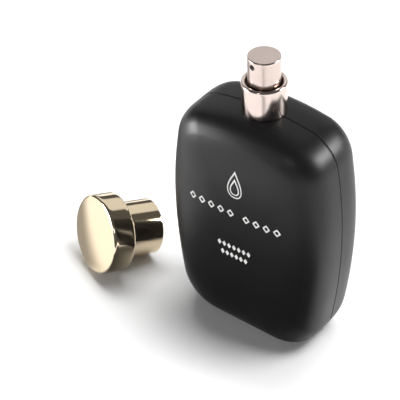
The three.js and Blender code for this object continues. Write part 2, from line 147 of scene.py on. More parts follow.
def piece_from_grid(
    name: str, grid: Array, wrap_rows: bool = False, edge: Array | None = None
) -> Piece:
    """Makes a closed piece from a grid of points in millimetres, with its faces outwards.

    Args:
        name: The piece's name.
        grid: Points, as rows x columns x 3.
        wrap_rows: True where the last row joins the first.
        edge: How exposed each point is to wear, from 0 to 1, as rows x columns.

    Returns:
        The piece, linked to the scene.
    """
    rows, columns = grid.shape[:2]
    points = grid.reshape(-1, 3).astype(float)
    quads = grid_faces(rows, columns, wrap_rows)
    if signed_volume(points, quads) < 0:
        quads = quads[:, ::-1]
    worn = np.zeros(len(points)) if edge is None else edge.reshape(-1)
    return piece_from_arrays(name, points, quads, worn)


def merged(points: Array, quads: Array, worn: Array) -> tuple[Array, list[list[int]], Array]:
    """Joins points that share one place, and drops the corners that fall together.

    Args:
        points: Points in millimetres.
        quads: Four point numbers for each face.
        worn: One value for each point.

    Returns:
        The points left, the faces left as lists of three or four numbers, and the values left.
    """
    keys = np.round(points / SAME_PLACE).astype(np.int64)
    _, first, place = np.unique(keys, axis=0, return_index=True, return_inverse=True)
    numbered = place.reshape(-1)[quads]
    distinct = numbered != np.roll(numbered, 1, axis=1)
    faces = [row[keep].tolist() for row, keep in zip(numbered, distinct) if keep.sum() > 2]
    return points[first], faces, worn[first]


def piece_from_arrays(name: str, points: Array, quads: Array, worn: Array) -> Piece:
    """Puts points and quads into a new mesh, in metres, shaded smooth between its sharp edges.

    Args:
        name: The piece's name.
        points: Points in millimetres.
        quads: Four point numbers for each face.
        worn: How exposed each point is to wear, from 0 to 1.

    Returns:
        The piece, linked to the scene.
    """
    places, faces, wear = merged(points, quads, worn)
    mesh = bpy.data.meshes.new(name)
    mesh.from_pydata((places * MM).tolist(), [], faces)
    mesh.polygons.foreach_set("use_smooth", np.ones(len(mesh.polygons), bool))
    layer = mesh.attributes.new("edge", "FLOAT", "POINT")
    layer.data.foreach_set("value", wear.astype(np.float32))
    mesh.update()
    mesh.set_sharp_from_angle(angle=math.radians(CREASE))
    piece = bpy.data.objects.new(name, mesh)
    bpy.context.scene.collection.objects.link(piece)
    return piece


def combine(piece: Piece, other: Piece, joining: Joining) -> Piece:
    """Joins or cuts a piece with another solid, which is used up.

    Args:
        piece: The solid that stays.
        other: The solid that is joined to it or cut from it.
        joining: Whether it is joined or cut.

    Returns:
        The same piece, with its new mesh.
    """
    modifier = piece.modifiers.new("combine", "BOOLEAN")
    modifier.operation = joining.value
    modifier.solver = "EXACT"
    modifier.object = other
    solved = piece.evaluated_get(bpy.context.evaluated_depsgraph_get())
    mesh = bpy.data.meshes.new_from_object(solved)
    piece.modifiers.remove(modifier)
    piece.data = mesh
    mesh.set_sharp_from_angle(angle=math.radians(CREASE))
    bpy.data.objects.remove(other)
    return piece


# ---- sections and turned shapes ----


def arc(centre: tuple[float, float], radius: float, start: float, stop: float, steps: int) -> Array:
    """Points on a circle from one angle to another, in degrees: centre + radius x (cos, sin)."""
    angle = np.radians(np.linspace(start, stop, steps + 1))
    return np.stack([centre[0] + radius * np.cos(angle), centre[1] + radius * np.sin(angle)], -1)


def rounded_corner(before: Array, corner: Array, after: Array, radius: float, steps: int) -> Array:
    """Points that round one corner of an outline.

    The arc leaves each side at the distance radius x tan(half the turn) from the corner, kept
    under 0.45 of either side. Its points are P(t) = (1-t)^2 A + 2wt(1-t) C + t^2 B over the same
    weights' sum, with w the cosine of half the turn, which is a true circle.

    Args:
        before: The outline's corner before this one.
        corner: The corner.
        after: The outline's corner after it.
        radius: Radius of the rounding.
        steps: Steps round it.

    Returns:
        The points, or the corner alone where it has no rounding.
    """
    back, ahead = before - corner, after - corner
    reach_back, reach_ahead = np.linalg.norm(back), np.linalg.norm(ahead)
    back, ahead = back / reach_back, ahead / reach_ahead
    half_turn = (math.pi - math.acos(float(np.clip(back @ ahead, -1, 1)))) / 2
    if radius <= 0 or half_turn < 0.02:
        return corner[None, :]
    run = min(radius * math.tan(half_turn), 0.45 * reach_back, 0.45 * reach_ahead)
    start, stop, weight = corner + back * run, corner + ahead * run, math.cos(half_turn)
    t = np.linspace(0, 1, steps + 1)[:, None]
    parts = (1 - t) ** 2, 2 * weight * t * (1 - t), t**2
    return (parts[0] * start + parts[1] * corner + parts[2] * stop) / sum(parts)


def section(corners: Sequence[Corner], closed: bool, steps: int = 4) -> tuple[Array, Array]:
    """An outline of (radius, height) points with its corners rounded.

    A holding point stands on each long side next to every rounded corner, so that the side
    stays flat in shading.

    Args:
        corners: Radius, height and rounding of each corner.
        closed: True where the outline closes on itself; else it runs from axis to axis.
        steps: Steps round each corner.

    Returns:
        The points, and how exposed each is: 1 on a rounding, 0 elsewhere.
    """
    places = np.array([c[:2] for c in corners], float)
    count = len(corners)
    points, worn = [], []
    for i, (_, _, radius) in enumerate(corners):
        ends = not closed and i in (0, count - 1)
        before, after = places[i - 1], places[(i + 1) % count]
        if ends:
            rounding = places[i][None, :]
        else:
            rounding = rounded_corner(before, places[i], after, radius, steps)
        if len(rounding) > 1:
            hold = 0.6 * np.linalg.norm(rounding[-1] - rounding[0])
            near = [held(rounding[0], before, hold), held(rounding[-1], after, hold)]
            rounding = np.vstack([near[0], rounding, near[1]])
            worn.append(np.r_[0, np.ones(len(rounding) - 2), 0])
        else:
            worn.append(np.zeros(len(rounding)))
        points.append(rounding)
    return np.vstack(points), np.concatenate(worn)


def held(start: Array, towards: Array, distance: float) -> Array:
    """A point a short way from start towards another point, at most 0.3 of the way there.

    Args:
        start: Where the way starts.
        towards: Where it leads.
        distance: How far to go.

    Returns:
        The point.
    """
    way = towards - start
    length = max(float(np.linalg.norm(way)), 1e-9)
    return start + way * min(distance / length, 0.3)


def around_axis(outline: Array, segments: int) -> Array:
    """Turns (radius, height) points about +Z: (r cos a, r sin a, h) for a from 0 to a full turn.

    Args:
        outline: Points, as rows of radius and height.
        segments: Steps round the axis.

    Returns:
        The grid, as points x segments x 3.
    """
    angle = np.arange(segments) * (2 * math.pi / segments)
    radius, height = outline[:, 0, None], outline[:, 1, None]
    return np.stack([radius * np.cos(angle), radius * np.sin(angle), height + 0 * angle], -1)


def turned(
    name: str,
    corners: Sequence[Corner],
    closed: bool,
    segments: int = 128,
    placing: Matrix | None = None,
) -> Piece:
    """A turned piece from the corners of its section.

    Args:
        name: The piece's name.
        corners: Radius, height and rounding of each corner of the section.
        closed: True for a ring, whose section closes on itself.
        segments: Steps round the axis.
        placing: Where the piece's own frame lies, in millimetres.

    Returns:
        The piece.
    """
    outline, worn = section(corners, closed)
    return turned_outline(name, outline, worn, closed, segments, placing)


def turned_outline(
    name: str,
    outline: Array,
    worn: Array,
    closed: bool,
    segments: int = 128,
    placing: Matrix | None = None,
) -> Piece:
    """A turned piece from the finished points of its section.

    Args:
        name: The piece's name.
        outline: Points of the section, as rows of radius and height.
        worn: How exposed each point is.
        closed: True for a ring, whose section closes on itself.
        segments: Steps round the axis.
        placing: Where the piece's own frame lies, in millimetres.

    Returns:
        The piece.
    """
    grid = around_axis(outline, segments)
    if placing is not None:
        grid = grid @ np.array(placing.to_3x3()).T + np.array(placing.translation)
    edge = np.repeat(worn[:, None], segments, axis=1)
    return piece_from_grid(name, grid, wrap_rows=closed, edge=edge)


def bar(radius: float, start: Vector, stop: Vector, segments: int = 48) -> Piece:
    """A plain round solid between two points, used to cut holes.

    Args:
        radius: Its radius.
        start: The middle of one end.
        stop: The middle of the other end.
        segments: Steps round it.

    Returns:
        The solid.
    """
    way = stop - start
    placing = Matrix.Translation(start) @ way.to_track_quat("Z", "Y").to_matrix().to_4x4()
    corners = [(0, 0, 0), (radius, 0, 0), (radius, way.length, 0), (0, way.length, 0)]
    return turned("cutter", corners, False, segments, placing)


def swept(path: Array, loop: Array, across: Array) -> Array:
    """Carries a flat loop along a path: point + loop_x x side + loop_y x up, at each point.

    Args:
        path: Points of the path, as n x 3.
        loop: Points of the loop, as m x 2.
        across: A direction near the path's side at each point, as n x 3.

    Returns:
        The grid, as n x m x 3.
    """
    along = np.gradient(path, axis=0)
    along /= np.linalg.norm(along, axis=1, keepdims=True)
    up = np.cross(along, across)
    up /= np.linalg.norm(up, axis=1, keepdims=True)
    side = np.cross(up, along)
    return path[:, None] + loop[None, :, :1] * side[:, None] + loop[None, :, 1:] * up[:, None]


def closed_ends(grid: Array) -> Array:
    """Adds a row at the middle of each end of a swept grid, so that the ends are closed.

    Args:
        grid: The grid, as rows x columns x 3.

    Returns:
        The grid with its two more rows.
    """
    first, last = grid[:1].mean(axis=1, keepdims=True), grid[-1:].mean(axis=1, keepdims=True)
    shape = (1, grid.shape[1], 3)
    return np.vstack([np.broadcast_to(first, shape), grid, np.broadcast_to(last, shape)])


# ---- shader effects, shared as node groups ----


class Effect(Enum):
    """The shared effects, each a node group that is built once."""

    MOTTLE = "soft_mottle"
    GRAIN = "fine_grain"
    SPUN = "spun_lines"
    WORN = "worn_edge"


@dataclass
class NodeDesk:
    """A node tree and short ways to add to it."""

    tree: bpy.types.NodeTree

    def add(self, kind: str, **settings: object) -> bpy.types.Node:
        """Adds a node and sets its own properties.

        Args:
            kind: The node's type.
            **settings: Its properties, by name.

        Returns:
            The node.
        """
        node = self.tree.nodes.new(kind)
        for name, value in settings.items():
            setattr(node, name, value)
        return node

    def feed(self, node: bpy.types.Node, **values: object) -> bpy.types.Node:
        """Fills a node's inputs: a socket is linked, and anything else is set as the value.

        Args:
            node: The node.
            **values: What goes into each input, with _ for a space in its name.

        Returns:
            The same node.
        """
        for name, value in values.items():
            self.put(node.inputs[name.replace("_", " ")], value)
        return node

    def put(self, target: bpy.types.NodeSocket, value: object) -> None:
        """Links a socket to the target, or sets the target's value.

        Args:
            target: The input.
            value: A socket or a value.
        """
        if isinstance(value, bpy.types.NodeSocket):
            self.tree.links.new(value, target)
        else:
            target.default_value = value

    def math(self, operation: str, *values: object) -> bpy.types.NodeSocket:
        """The result of a math node.

        Args:
            operation: The node's operation.
            *values: A socket or a value for each input.

        Returns:
            The node's output.
        """
        node = self.add("ShaderNodeMath", operation=operation)
        for target, value in zip(node.inputs, values):
            self.put(target, value)
        return node.outputs[0]

    def spread(self, value: bpy.types.NodeSocket, low: object, high: object) -> bpy.types.NodeSocket:
        """A value from 0 to 1 spread from low to high.

        Args:
            value: The value.
            low: What 0 becomes.
            high: What 1 becomes.

        Returns:
            The spread value.
        """
        node = self.add("ShaderNodeMapRange")
        self.put(node.inputs["Value"], value)
        self.put(node.inputs["To Min"], low)
        self.put(node.inputs["To Max"], high)
        return node.outputs[0]

    def effect(self, effect: Effect, **values: object) -> bpy.types.Node:
        """Places a shared effect with its own values."""
        node = self.add("ShaderNodeGroup", node_tree=effect_tree(effect))
        return self.feed(node, **values)


def effect_tree(effect: Effect) -> bpy.types.NodeTree:
    """The node group of an effect, built the first time it is asked for.

    Args:
        effect: The effect.

    Returns:
        Its node group.
    """
    found = bpy.data.node_groups.get(effect.value)
    if found:
        return found
    makers = {
        Effect.MOTTLE: build_mottle,
        Effect.GRAIN: build_grain,
        Effect.SPUN: build_spun,
        Effect.WORN: build_worn,
    }
    return makers[effect]()


def new_group(
    effect: Effect, inputs: dict[str, float | None], output: str
) -> tuple[NodeDesk, dict[str, bpy.types.NodeSocket]]:
    """Starts a node group with named inputs and one value output.

    Args:
        effect: The effect that the group gives.
        inputs: Each input's name and default, with None for a vector.
        output: The output's name.

    Returns:
        A desk on the new tree, and its inside sockets by name.
    """
    tree = bpy.data.node_groups.new(effect.value, "ShaderNodeTree")
    for name, default in inputs.items():
        kind = "NodeSocketVector" if default is None else "NodeSocketFloat"
        socket = tree.interface.new_socket(name, in_out="INPUT", socket_type=kind)
        if default is not None:
            socket.default_value = default
    tree.interface.new_socket(output, in_out="OUTPUT", socket_type="NodeSocketFloat")
    desk = NodeDesk(tree)
    inside = desk.add("NodeGroupInput")
    outside = desk.add("NodeGroupOutput")
    sockets = {name: inside.outputs[name] for name in inputs}
    return desk, {**sockets, "out": outside.inputs[output]}


def build_mottle() -> bpy.types.NodeTree:
    """Soft clouds of the given size in metres, as a value between Low and High.

    Returns:
        The group.
    """
    inputs = {"Vector": None, "Size": 0.01, "Low": 0.0, "High": 1.0}
    desk, at = new_group(Effect.MOTTLE, inputs, "Value")
    noise = desk.add("ShaderNodeTexNoise", noise_dimensions="3D")
    desk.feed(noise, Vector=at["Vector"], Scale=desk.math("DIVIDE", 1.0, at["Size"]), Detail=3.0)
    contrast = desk.add("ShaderNodeMapRange")
    desk.feed(contrast, Value=noise.outputs["Fac"], From_Min=0.3, From_Max=0.7)
    desk.put(contrast.inputs["To Min"], at["Low"])
    desk.put(contrast.inputs["To Max"], at["High"])
    desk.put(at["out"], contrast.outputs[0])
    return desk.tree


def build_grain() -> bpy.types.NodeTree:
    """Two sizes of fine bumps, the finer a quarter of the size and half the height, from 0 to 1.

    Returns:
        The group.
    """
    desk, at = new_group(Effect.GRAIN, {"Vector": None, "Size": 0.001}, "Height")
    scale = desk.math("DIVIDE", 1.0, at["Size"])
    coarse = desk.add("ShaderNodeTexNoise", noise_dimensions="3D")
    desk.feed(coarse, Vector=at["Vector"], Scale=scale, Detail=1.0)
    fine = desk.add("ShaderNodeTexNoise", noise_dimensions="3D")
    desk.feed(fine, Vector=at["Vector"], Scale=desk.math("MULTIPLY", scale, 4.0), Detail=1.0)
    half = desk.math("MULTIPLY", fine.outputs["Fac"], 0.5)
    total = desk.math("ADD", coarse.outputs["Fac"], half)
    desk.put(at["out"], desk.math("DIVIDE", total, 1.5))
    return desk.tree


def build_spun() -> bpy.types.NodeTree:
    """Fine lines round the axis, as a lathe leaves: noise along (radius + height) / pitch.

    Returns:
        The group.
    """
    desk, at = new_group(Effect.SPUN, {"Vector": None, "Pitch": 0.0002}, "Height")
    parts = desk.add("ShaderNodeSeparateXYZ")
    desk.feed(parts, Vector=at["Vector"])
    across = desk.math("POWER", parts.outputs["X"], 2.0)
    deep = desk.math("POWER", parts.outputs["Y"], 2.0)
    radius = desk.math("SQRT", desk.math("ADD", across, deep))
    run = desk.math("DIVIDE", desk.math("ADD", radius, parts.outputs["Z"]), at["Pitch"])
    noise = desk.add("ShaderNodeTexNoise", noise_dimensions="1D")
    desk.feed(noise, W=run, Scale=1.0, Detail=2.0)
    desk.put(at["out"], noise.outputs["Fac"])
    return desk.tree


def build_worn() -> bpy.types.NodeTree:
    """A mask of rubbed edges: the edge value, broken up by clouds of the given size.

    Returns:
        The group.
    """
    desk, at = new_group(Effect.WORN, {"Vector": None, "Size": 0.003, "Amount": 0.5}, "Mask")
    edge = desk.add("ShaderNodeAttribute", attribute_name="edge")
    noise = desk.add("ShaderNodeTexNoise", noise_dimensions="3D")
    desk.feed(noise, Vector=at["Vector"], Scale=desk.math("DIVIDE", 1.0, at["Size"]), Detail=4.0)
    broken = desk.add("ShaderNodeMapRange", clamp=True)
    desk.feed(broken, Value=noise.outputs["Fac"], From_Min=0.42, From_Max=0.62)
    mask = desk.math("MULTIPLY", edge.outputs["Fac"], broken.outputs[0])
    desk.put(at["out"], desk.math("MULTIPLY", mask, at["Amount"]))
    return desk.tree


# ---- finishes ----


@dataclass(frozen=True)
class Finish:
    """One surface finish. Sizes are in millimetres, and colours are linear.

    Attributes:
        name: The material's name.
        slot: The record's material slot. Not used.
        colour: The colour of the clean surface.
        worn: The colour where an edge is rubbed.
        wear: How far the edges are rubbed, from 0 to 1.
        metallic: 1 for metal.
        rough: The lowest and highest roughness of the mottle.
        mottle: Size of the mottle.
        grain: Size of the grain.
        relief: Height of the grain or of the spun lines.
        pitch: Pitch of the spun lines, or 0 where the surface has grain instead.
        tone: How much darker the darkest cloud is than the colour, as a share.
        ior: Index of refraction.
        placing: Where the pattern's own frame lies, for a piece that lies askew.
    """

    name: str
    slot: str
    colour: tuple[float, float, float]
    worn: tuple[float, float, float]
    wear: float = 0.3
    metallic: float = 0.0
    rough: tuple[float, float] = (0.4, 0.5)
    mottle: float = 12.0
    grain: float = 0.4
    relief: float = 0.01
    pitch: float = 0.0
    tone: float = 0.1
    ior: float = 1.5
    placing: tuple[tuple[float, float, float], tuple[float, float, float]] | None = None

    def material(self) -> Material:
        """The finish as a node material, built the first time it is asked for.

        Returns:
            The material.
        """
        found = bpy.data.materials.get(self.name)
        if found:
            return found
        material = bpy.data.materials.new(self.name)
        material.use_nodes = True
        desk = NodeDesk(material.node_tree)
        shader = material.node_tree.nodes["Principled BSDF"]
        place = self._pattern_place(desk)
        desk.feed(shader, Base_Color=self._colour(desk, place), Metallic=self.metallic, IOR=self.ior)
        cloud = desk.effect(Effect.MOTTLE, Vector=place, Size=self.mottle * MM)
        desk.feed(cloud, Low=self.rough[0], High=self.rough[1])
        desk.feed(shader, Roughness=cloud.outputs[0], Normal=self._relief(desk, place))
        return material

    def _pattern_place(self, desk: NodeDesk) -> bpy.types.NodeSocket:
        """Object coordinates, taken into the piece's own frame where it lies askew.

        Args:
            desk: The desk on the material's tree.

        Returns:
            The place, as a vector.
        """
        place = desk.add("ShaderNodeTexCoord").outputs["Object"]
        if self.placing is None:
            return place
        mapping = desk.add("ShaderNodeMapping", vector_type="TEXTURE")
        location, rotation = self.placing
        desk.feed(mapping, Vector=place, Location=location, Rotation=rotation)
        return mapping.outputs[0]

    def _colour(self, desk: NodeDesk, place: bpy.types.NodeSocket) -> bpy.types.NodeSocket:
        """The colour with its clouds, and the rubbed colour on the edges.

        Args:
            desk: The desk on the material's tree.
            place: The place on the surface.

        Returns:
            The colour.
        """
        cloud = desk.effect(Effect.MOTTLE, Vector=place, Size=2.5 * self.mottle * MM)
        clean = desk.add("ShaderNodeMix", data_type="RGBA")
        darker = tuple(c * (1 - self.tone) for c in self.colour)
        desk.put(clean.inputs["Factor"], cloud.outputs[0])
        desk.put(clean.inputs["A"], (*darker, 1))
        desk.put(clean.inputs["B"], (*self.colour, 1))
        mask = desk.effect(Effect.WORN, Vector=place, Size=0.4 * self.mottle * MM, Amount=self.wear)
        rubbed = desk.add("ShaderNodeMix", data_type="RGBA")
        desk.put(rubbed.inputs["Factor"], mask.outputs[0])
        desk.put(rubbed.inputs["A"], clean.outputs["Result"])
        desk.put(rubbed.inputs["B"], (*self.worn, 1))
        return rubbed.outputs["Result"]

    def _relief(self, desk: NodeDesk, place: bpy.types.NodeSocket) -> bpy.types.NodeSocket:
        """The bumped normal: spun lines where the finish has a pitch, and grain elsewhere.

        Args:
            desk: The desk on the material's tree.
            place: The place on the surface.

        Returns:
            The normal.
        """
        if self.pitch:
            height = desk.effect(Effect.SPUN, Vector=place, Pitch=self.pitch * MM)
        else:
            height = desk.effect(Effect.GRAIN, Vector=place, Size=self.grain * MM)
        bump = desk.add("ShaderNodeBump")
        desk.feed(bump, Height=height.outputs[0], Distance=self.relief * MM, Strength=1.0)
        return bump.outputs[0]


SOFT_TOUCH = Finish(
    name="soft_touch_black",
    slot="coated_glass",
    colour=(0.005, 0.005, 0.0054),
    worn=(0.02, 0.02, 0.021),
    wear=0.2,
    rough=(0.37, 0.41),
    mottle=18,
    grain=0.5,
    relief=0.004,
    ior=1.4,
)
ROSE_ANODISED = Finish(
    name="rose_anodised",
    slot="rose_metal",
    colour=(0.76, 0.64, 0.59),
    worn=(0.9, 0.82, 0.77),
    metallic=1,
    rough=(0.12, 0.17),
    mottle=5,
    pitch=0.35,
    relief=0.0008,
    tone=0.06,
)
PALE_ANODISED = Finish(
    name="pale_spun",
    slot="pale_metal",
    colour=(0.7, 0.585, 0.535),
    worn=(0.9, 0.82, 0.77),
    metallic=1,
    rough=(0.2, 0.26),
    mottle=4,
    pitch=0.25,
    relief=0.003,
    tone=0.05,
)
PALE_GOLD = Finish(
    name="pale_gold",
    slot="gold_metal",
    colour=(0.86, 0.71, 0.5),
    worn=(0.93, 0.86, 0.7),
    metallic=1,
    rough=(0.05, 0.09),
    mottle=9,
    pitch=0.8,
    relief=0.0006,
    tone=0.05,
)
MILL_ALUMINIUM = Finish(
    name="mill_aluminium",
    slot="bare_aluminium",
    colour=(0.78, 0.79, 0.8),
    worn=(0.88, 0.88, 0.9),
    metallic=1,
    rough=(0.28, 0.38),
    mottle=3,
    pitch=0.15,
    relief=0.002,
)
BRIGHT_STEEL = Finish(
    name="drawn_steel",
    slot="steel",
    colour=(0.56, 0.57, 0.58),
    worn=(0.7, 0.7, 0.71),
    metallic=1,
    rough=(0.18, 0.3),
    mottle=1.5,
    grain=0.12,
    relief=0.001,
)
NATURAL_PLASTIC = Finish(
    name="moulded_natural",
    slot="natural_plastic",
    colour=(0.8, 0.79, 0.74),
    worn=(0.86, 0.86, 0.83),
    rough=(0.4, 0.52),
    mottle=4,
    grain=0.2,
    relief=0.004,
)
BLACK_PLASTIC = Finish(
    name="moulded_black",
    slot="black_plastic",
    colour=(0.03, 0.03, 0.032),
    worn=(0.07, 0.07, 0.072),
    rough=(0.38, 0.5),
    mottle=4,
    grain=0.25,
    relief=0.006,
)
SEAL_RUBBER = Finish(
    name="cut_rubber",
    slot="seal_rubber",
    colour=(0.07, 0.07, 0.074),
    worn=(0.11, 0.11, 0.11),
    rough=(0.7, 0.85),
    mottle=2,
    grain=0.15,
    relief=0.01,
)
WHITE_INK = Finish(
    name="white_ink",
    slot="white_print",
    colour=(0.78, 0.77, 0.76),
    worn=(0.55, 0.55, 0.54),
    wear=0.15,
    rough=(0.5, 0.62),
    mottle=2.5,
    grain=0.12,
    relief=0.006,
    tone=0.12,
)


def dress(piece: Piece, finish: Finish, body: str, node: str | None = None) -> Piece:
    """Gives a piece its finish, and lets it ride on a body.

    Args:
        piece: The piece.
        finish: Its finish.
        body: The body it moves with.
        node: The frame's node that it stands for.

    Returns:
        The same piece.
    """
    piece.data.materials.clear()
    piece.data.materials.append(finish.material())
    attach(piece, body)
    if node:
        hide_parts(node)
    LOG.info("%s: %d faces, rides on %s", piece.name, len(piece.data.polygons), body)
    return piece


# ---- glass bottle ----


@dataclass(frozen=True)
class Pillow:
    """A pillow between two faces, with an outline of tangent arcs.

    Turns are how far each arc of the outline bends, in degrees. Squareness is the exponent of
    the curve that closes the pillow from its seam to its faces.
    """

    half_width: float = 35.4
    half_depth: float = 20.0
    widest: float = 53.3
    top: float = 102.0
    base: float = -0.5
    upper_side_turn: float = 10.25
    top_turn: float = 11.3
    lower_side_turn: float = 8.76
    top_corner: float = 15.1
    base_corner: float = 17.2
    side_squareness: float = 3.7
    top_squareness: float = 4.5
    base_squareness: float = 4.0
    softening: float = 0.5
    groove_width: float = 0.3

    def _upper_radii(self) -> tuple[float, float]:
        """Radii of the side and top arcs that meet the corner arc and reach the width and rise.

        Returns:
            The side arc's radius and the top arc's.
        """
        side, top = math.radians(self.upper_side_turn), math.radians(self.top_turn)
        across = self.half_width - self.top_corner * (math.cos(side) - math.sin(top))
        rise = self.top - self.widest - self.top_corner * (math.cos(top) - math.sin(side))
        side_run, top_run = 1 - math.cos(side), 1 - math.cos(top)
        scale = side_run * top_run - math.sin(side) * math.sin(top)
        return (
            (across * top_run - rise * math.sin(top)) / scale,
            (side_run * rise - math.sin(side) * across) / scale,
        )

    def _walk(self, arcs: Sequence[tuple[float, float, float, int]]) -> Array:
        """Tangent arcs from the widest point.

        Args:
            arcs: Radius, first and last angle in degrees, and steps of each arc.

        Returns:
            The points, as rows of x, height and normal angle.
        """
        rows = np.array([[self.half_width, 0.0, 0.0]])
        for radius, start, stop, steps in arcs:
            normal = np.radians(np.linspace(start, stop, steps + 1))[1:]
            first = math.radians(start)
            x = rows[-1, 0] + radius * (np.cos(normal) - math.cos(first))
            z = rows[-1, 1] + radius * (np.sin(normal) - math.sin(first))
            rows = np.vstack([rows, np.stack([x, z, normal], -1)])
        return rows

    def outline(self, density: int) -> Array:
        """The front outline about the widest point, as rows of x, height and normal angle.

        Args:
            density: Steps round each corner arc.

        Returns:
            One closed turn, anticlockwise from the middle of the base.
        """
        side, top = self._upper_radii()
        sine = math.sin(math.radians(self.lower_side_turn))
        lower = (self.widest - self.base - self.base_corner * (1 - sine)) / sine
        up_turn, top_turn = self.upper_side_turn, 90 - self.top_turn
        rising = [
            (side, 0, up_turn, density),
            (self.top_corner, up_turn, top_turn, density),
            (top, top_turn, 90, density),
        ]
        falling = [
            (lower, 0, -self.lower_side_turn, density),
            (self.base_corner, -self.lower_side_turn, -90, density),
        ]
        upper, down = self._walk(rising), self._walk(falling)
        flat = np.linspace(0, 1, density // 2, endpoint=False)[:, None]
        middle = np.array([[0.0, down[-1, 1], -math.pi / 2]])
        right = np.vstack([middle + flat * (down[-1] - middle), down[::-1], upper[1:]])
        left = right[1:-1][::-1] * [-1, 1, -1] + [0, 0, math.pi]
        return np.vstack([right, left])

    def squareness(self, normal: Array) -> Array:
        """The exponent: the sides' value, blended to the top's or the base's by sin(normal)^2.

        Args:
            normal: The outline's normal angles.

        Returns:
            One exponent for each.
        """
        rise = np.sin(normal) ** 2
        end = np.where(np.sin(normal) > 0, self.top_squareness, self.base_squareness)
        return self.side_squareness * (1 - rise) + end * rise

    def settle(self, height: Array) -> Array:
        """Lays what is below the floor flat on it, with a soft edge: half of z + root(z^2 + e^2).

        Args:
            height: Heights of the points.

        Returns:
            The settled heights; a pillow that stays above the floor keeps its own.
        """
        if self.base >= 0:
            return height
        soft = (height + np.sqrt(height**2 + self.softening**2)) / 2
        lowest = (self.base + math.hypot(self.base, self.softening)) / 2
        return soft - lowest * np.exp(-np.maximum(height - self.base, 0) / 2)

    def levels(self, seam_rows: int, face_rows: int) -> tuple[Array, Array]:
        """How far each row is from seam to half way and on to the face.

        The rows near the seam stand close, by sinh(4t) / sinh(4), and so do the rows where the
        face turns into its edge, by 1 - t^1.5.

        Args:
            seam_rows: Rows from the seam to half way round the edge.
            face_rows: Rows from there to the middle of the face.

        Returns:
            The shares of the depth for the first rows, and of the outline for the others.
        """
        near = np.sinh(4 * np.linspace(0, 1, seam_rows + 1)) / math.sinh(4)
        inward = 1 - np.linspace(0, 1, face_rows + 1)[1:] ** 1.5
        return near, inward

    def surface(self, density: int, seam_rows: int, face_rows: int, groove: float = 0.0) -> Array:
        """The whole pillow as a grid, from the middle of one face to the middle of the other.

        With n the squareness, a point at depth share q has outline share (1 - q^n)^(1/n), and a
        point at outline share s has depth share (1 - s^n)^(1/n). Half way both are 0.5^(1/n).
        A groove follows the seam: the outline moves in by groove x exp(-(y / width)^2).

        Args:
            density: Steps round each corner arc of the outline.
            seam_rows: Rows from the seam to half way round the edge.
            face_rows: Rows from there to the middle of the face.
            groove: Depth of the groove along the seam.

        Returns:
            Points in millimetres, as rows x columns x 3.
        """
        x, z, normal = self.outline(density).T
        n = self.squareness(normal)[None, :]
        half = 0.5 ** (1 / n)
        near, inward = self.levels(seam_rows, face_rows)
        depth_near = near[:, None] * half
        share_near = (1 - depth_near**n) ** (1 / n)
        share_far = inward[:, None] * half
        depth_far = (1 - share_far**n) ** (1 / n)
        depth = np.vstack([depth_near, depth_far])
        share = np.vstack([share_near, share_far])
        depth = np.vstack([-depth[:0:-1], depth])
        share = np.vstack([share[:0:-1], share])
        y = -depth * self.half_depth
        dent = groove * np.exp(-((y / self.groove_width) ** 2))
        across = x * share - dent * np.cos(normal)
        height = self.widest + z * share - dent * np.sin(normal)
        return np.stack([across, y, self.settle(height)], -1)

    def front(self, x: Array, z: Array) -> Array:
        """The y of the front face at each place: -half depth x (1 - s^n)^(1/n).

        Args:
            x: The places' x.
            z: Their heights.

        Returns:
            One y for each place.
        """
        outline = self.outline(24)
        bearing = np.arctan2(outline[:, 1], outline[:, 0])
        order = np.argsort(bearing)
        turn = np.arctan2(z - self.widest, x)
        reach = np.interp(turn, bearing[order], np.hypot(outline[order, 0], outline[order, 1]))
        n = np.interp(turn, bearing[order], self.squareness(outline[order, 2]))
        share = np.hypot(x, z - self.widest) / reach
        return -self.half_depth * (1 - np.minimum(share, 1) ** n) ** (1 / n)


@dataclass
class GlassBottle:
    """The bottle: an outer pillow, a hollow one inside it, and a neck with a bead for the crimp."""

    shape: Pillow = field(default_factory=Pillow)
    side_wall: float = 6.0
    front_wall: float = 6.2
    shoulder_wall: float = 6.0
    base_wall: float = 10.0
    neck_radius: float = 6.6
    bead_radius: float = 7.3
    bead_height: float = 2.3
    bead_slope: float = 0.7
    bore: float = 4.9
    seam_groove: float = 0.22

    def build(self) -> Piece:
        """Builds the glass and dresses it in its coat.

        Returns:
            The glass.
        """
        glass = piece_from_grid("bottle_glass", self.shape.surface(30, 40, 26, self.seam_groove))
        combine(glass, self._neck(), Joining.ADD)
        combine(glass, self._hollow(), Joining.CUT)
        return dress(glass, SOFT_TOUCH, "bottle", "glass_bottle")

    def _neck(self) -> Piece:
        """The neck, turned, with a rounded bead.

        Returns:
            The neck, from inside the shoulder up.
        """
        top = Extent.of("glass_bottle").high
        root = self.shape.top - self.shoulder_wall / 2
        under = top - self.bead_height
        corners = [
            (0, root, 0),
            (self.neck_radius, root, 0),
            (self.neck_radius, under - self.bead_slope, 0.2),
            (self.bead_radius, under, 0.3),
            (self.bead_radius, top, 0.4),
            (0, top, 0),
        ]
        return turned("neck", corners, False)

    def _hollow(self) -> Piece:
        """The space inside, with its bore up through the neck.

        Returns:
            The space as one solid, used to cut the glass.
        """
        inside = Pillow(
            half_width=self.shape.half_width - self.side_wall,
            half_depth=self.shape.half_depth - self.front_wall,
            top=self.shape.top - self.shoulder_wall,
            base=self.base_wall,
            top_corner=self.shape.top_corner - self.shoulder_wall / 2,
            base_corner=self.shape.base_corner - self.side_wall / 2,
        )
        hollow = piece_from_grid("hollow", inside.surface(10, 10, 8))
        low = self.shape.top - 2 * self.shoulder_wall
        high = Extent.of("glass_bottle").high + 1
        way_in = bar(self.bore, Vector((0, 0, low)), Vector((0, 0, high)), 96)
        return combine(hollow, way_in, Joining.ADD)


# ---- print on the front face ----


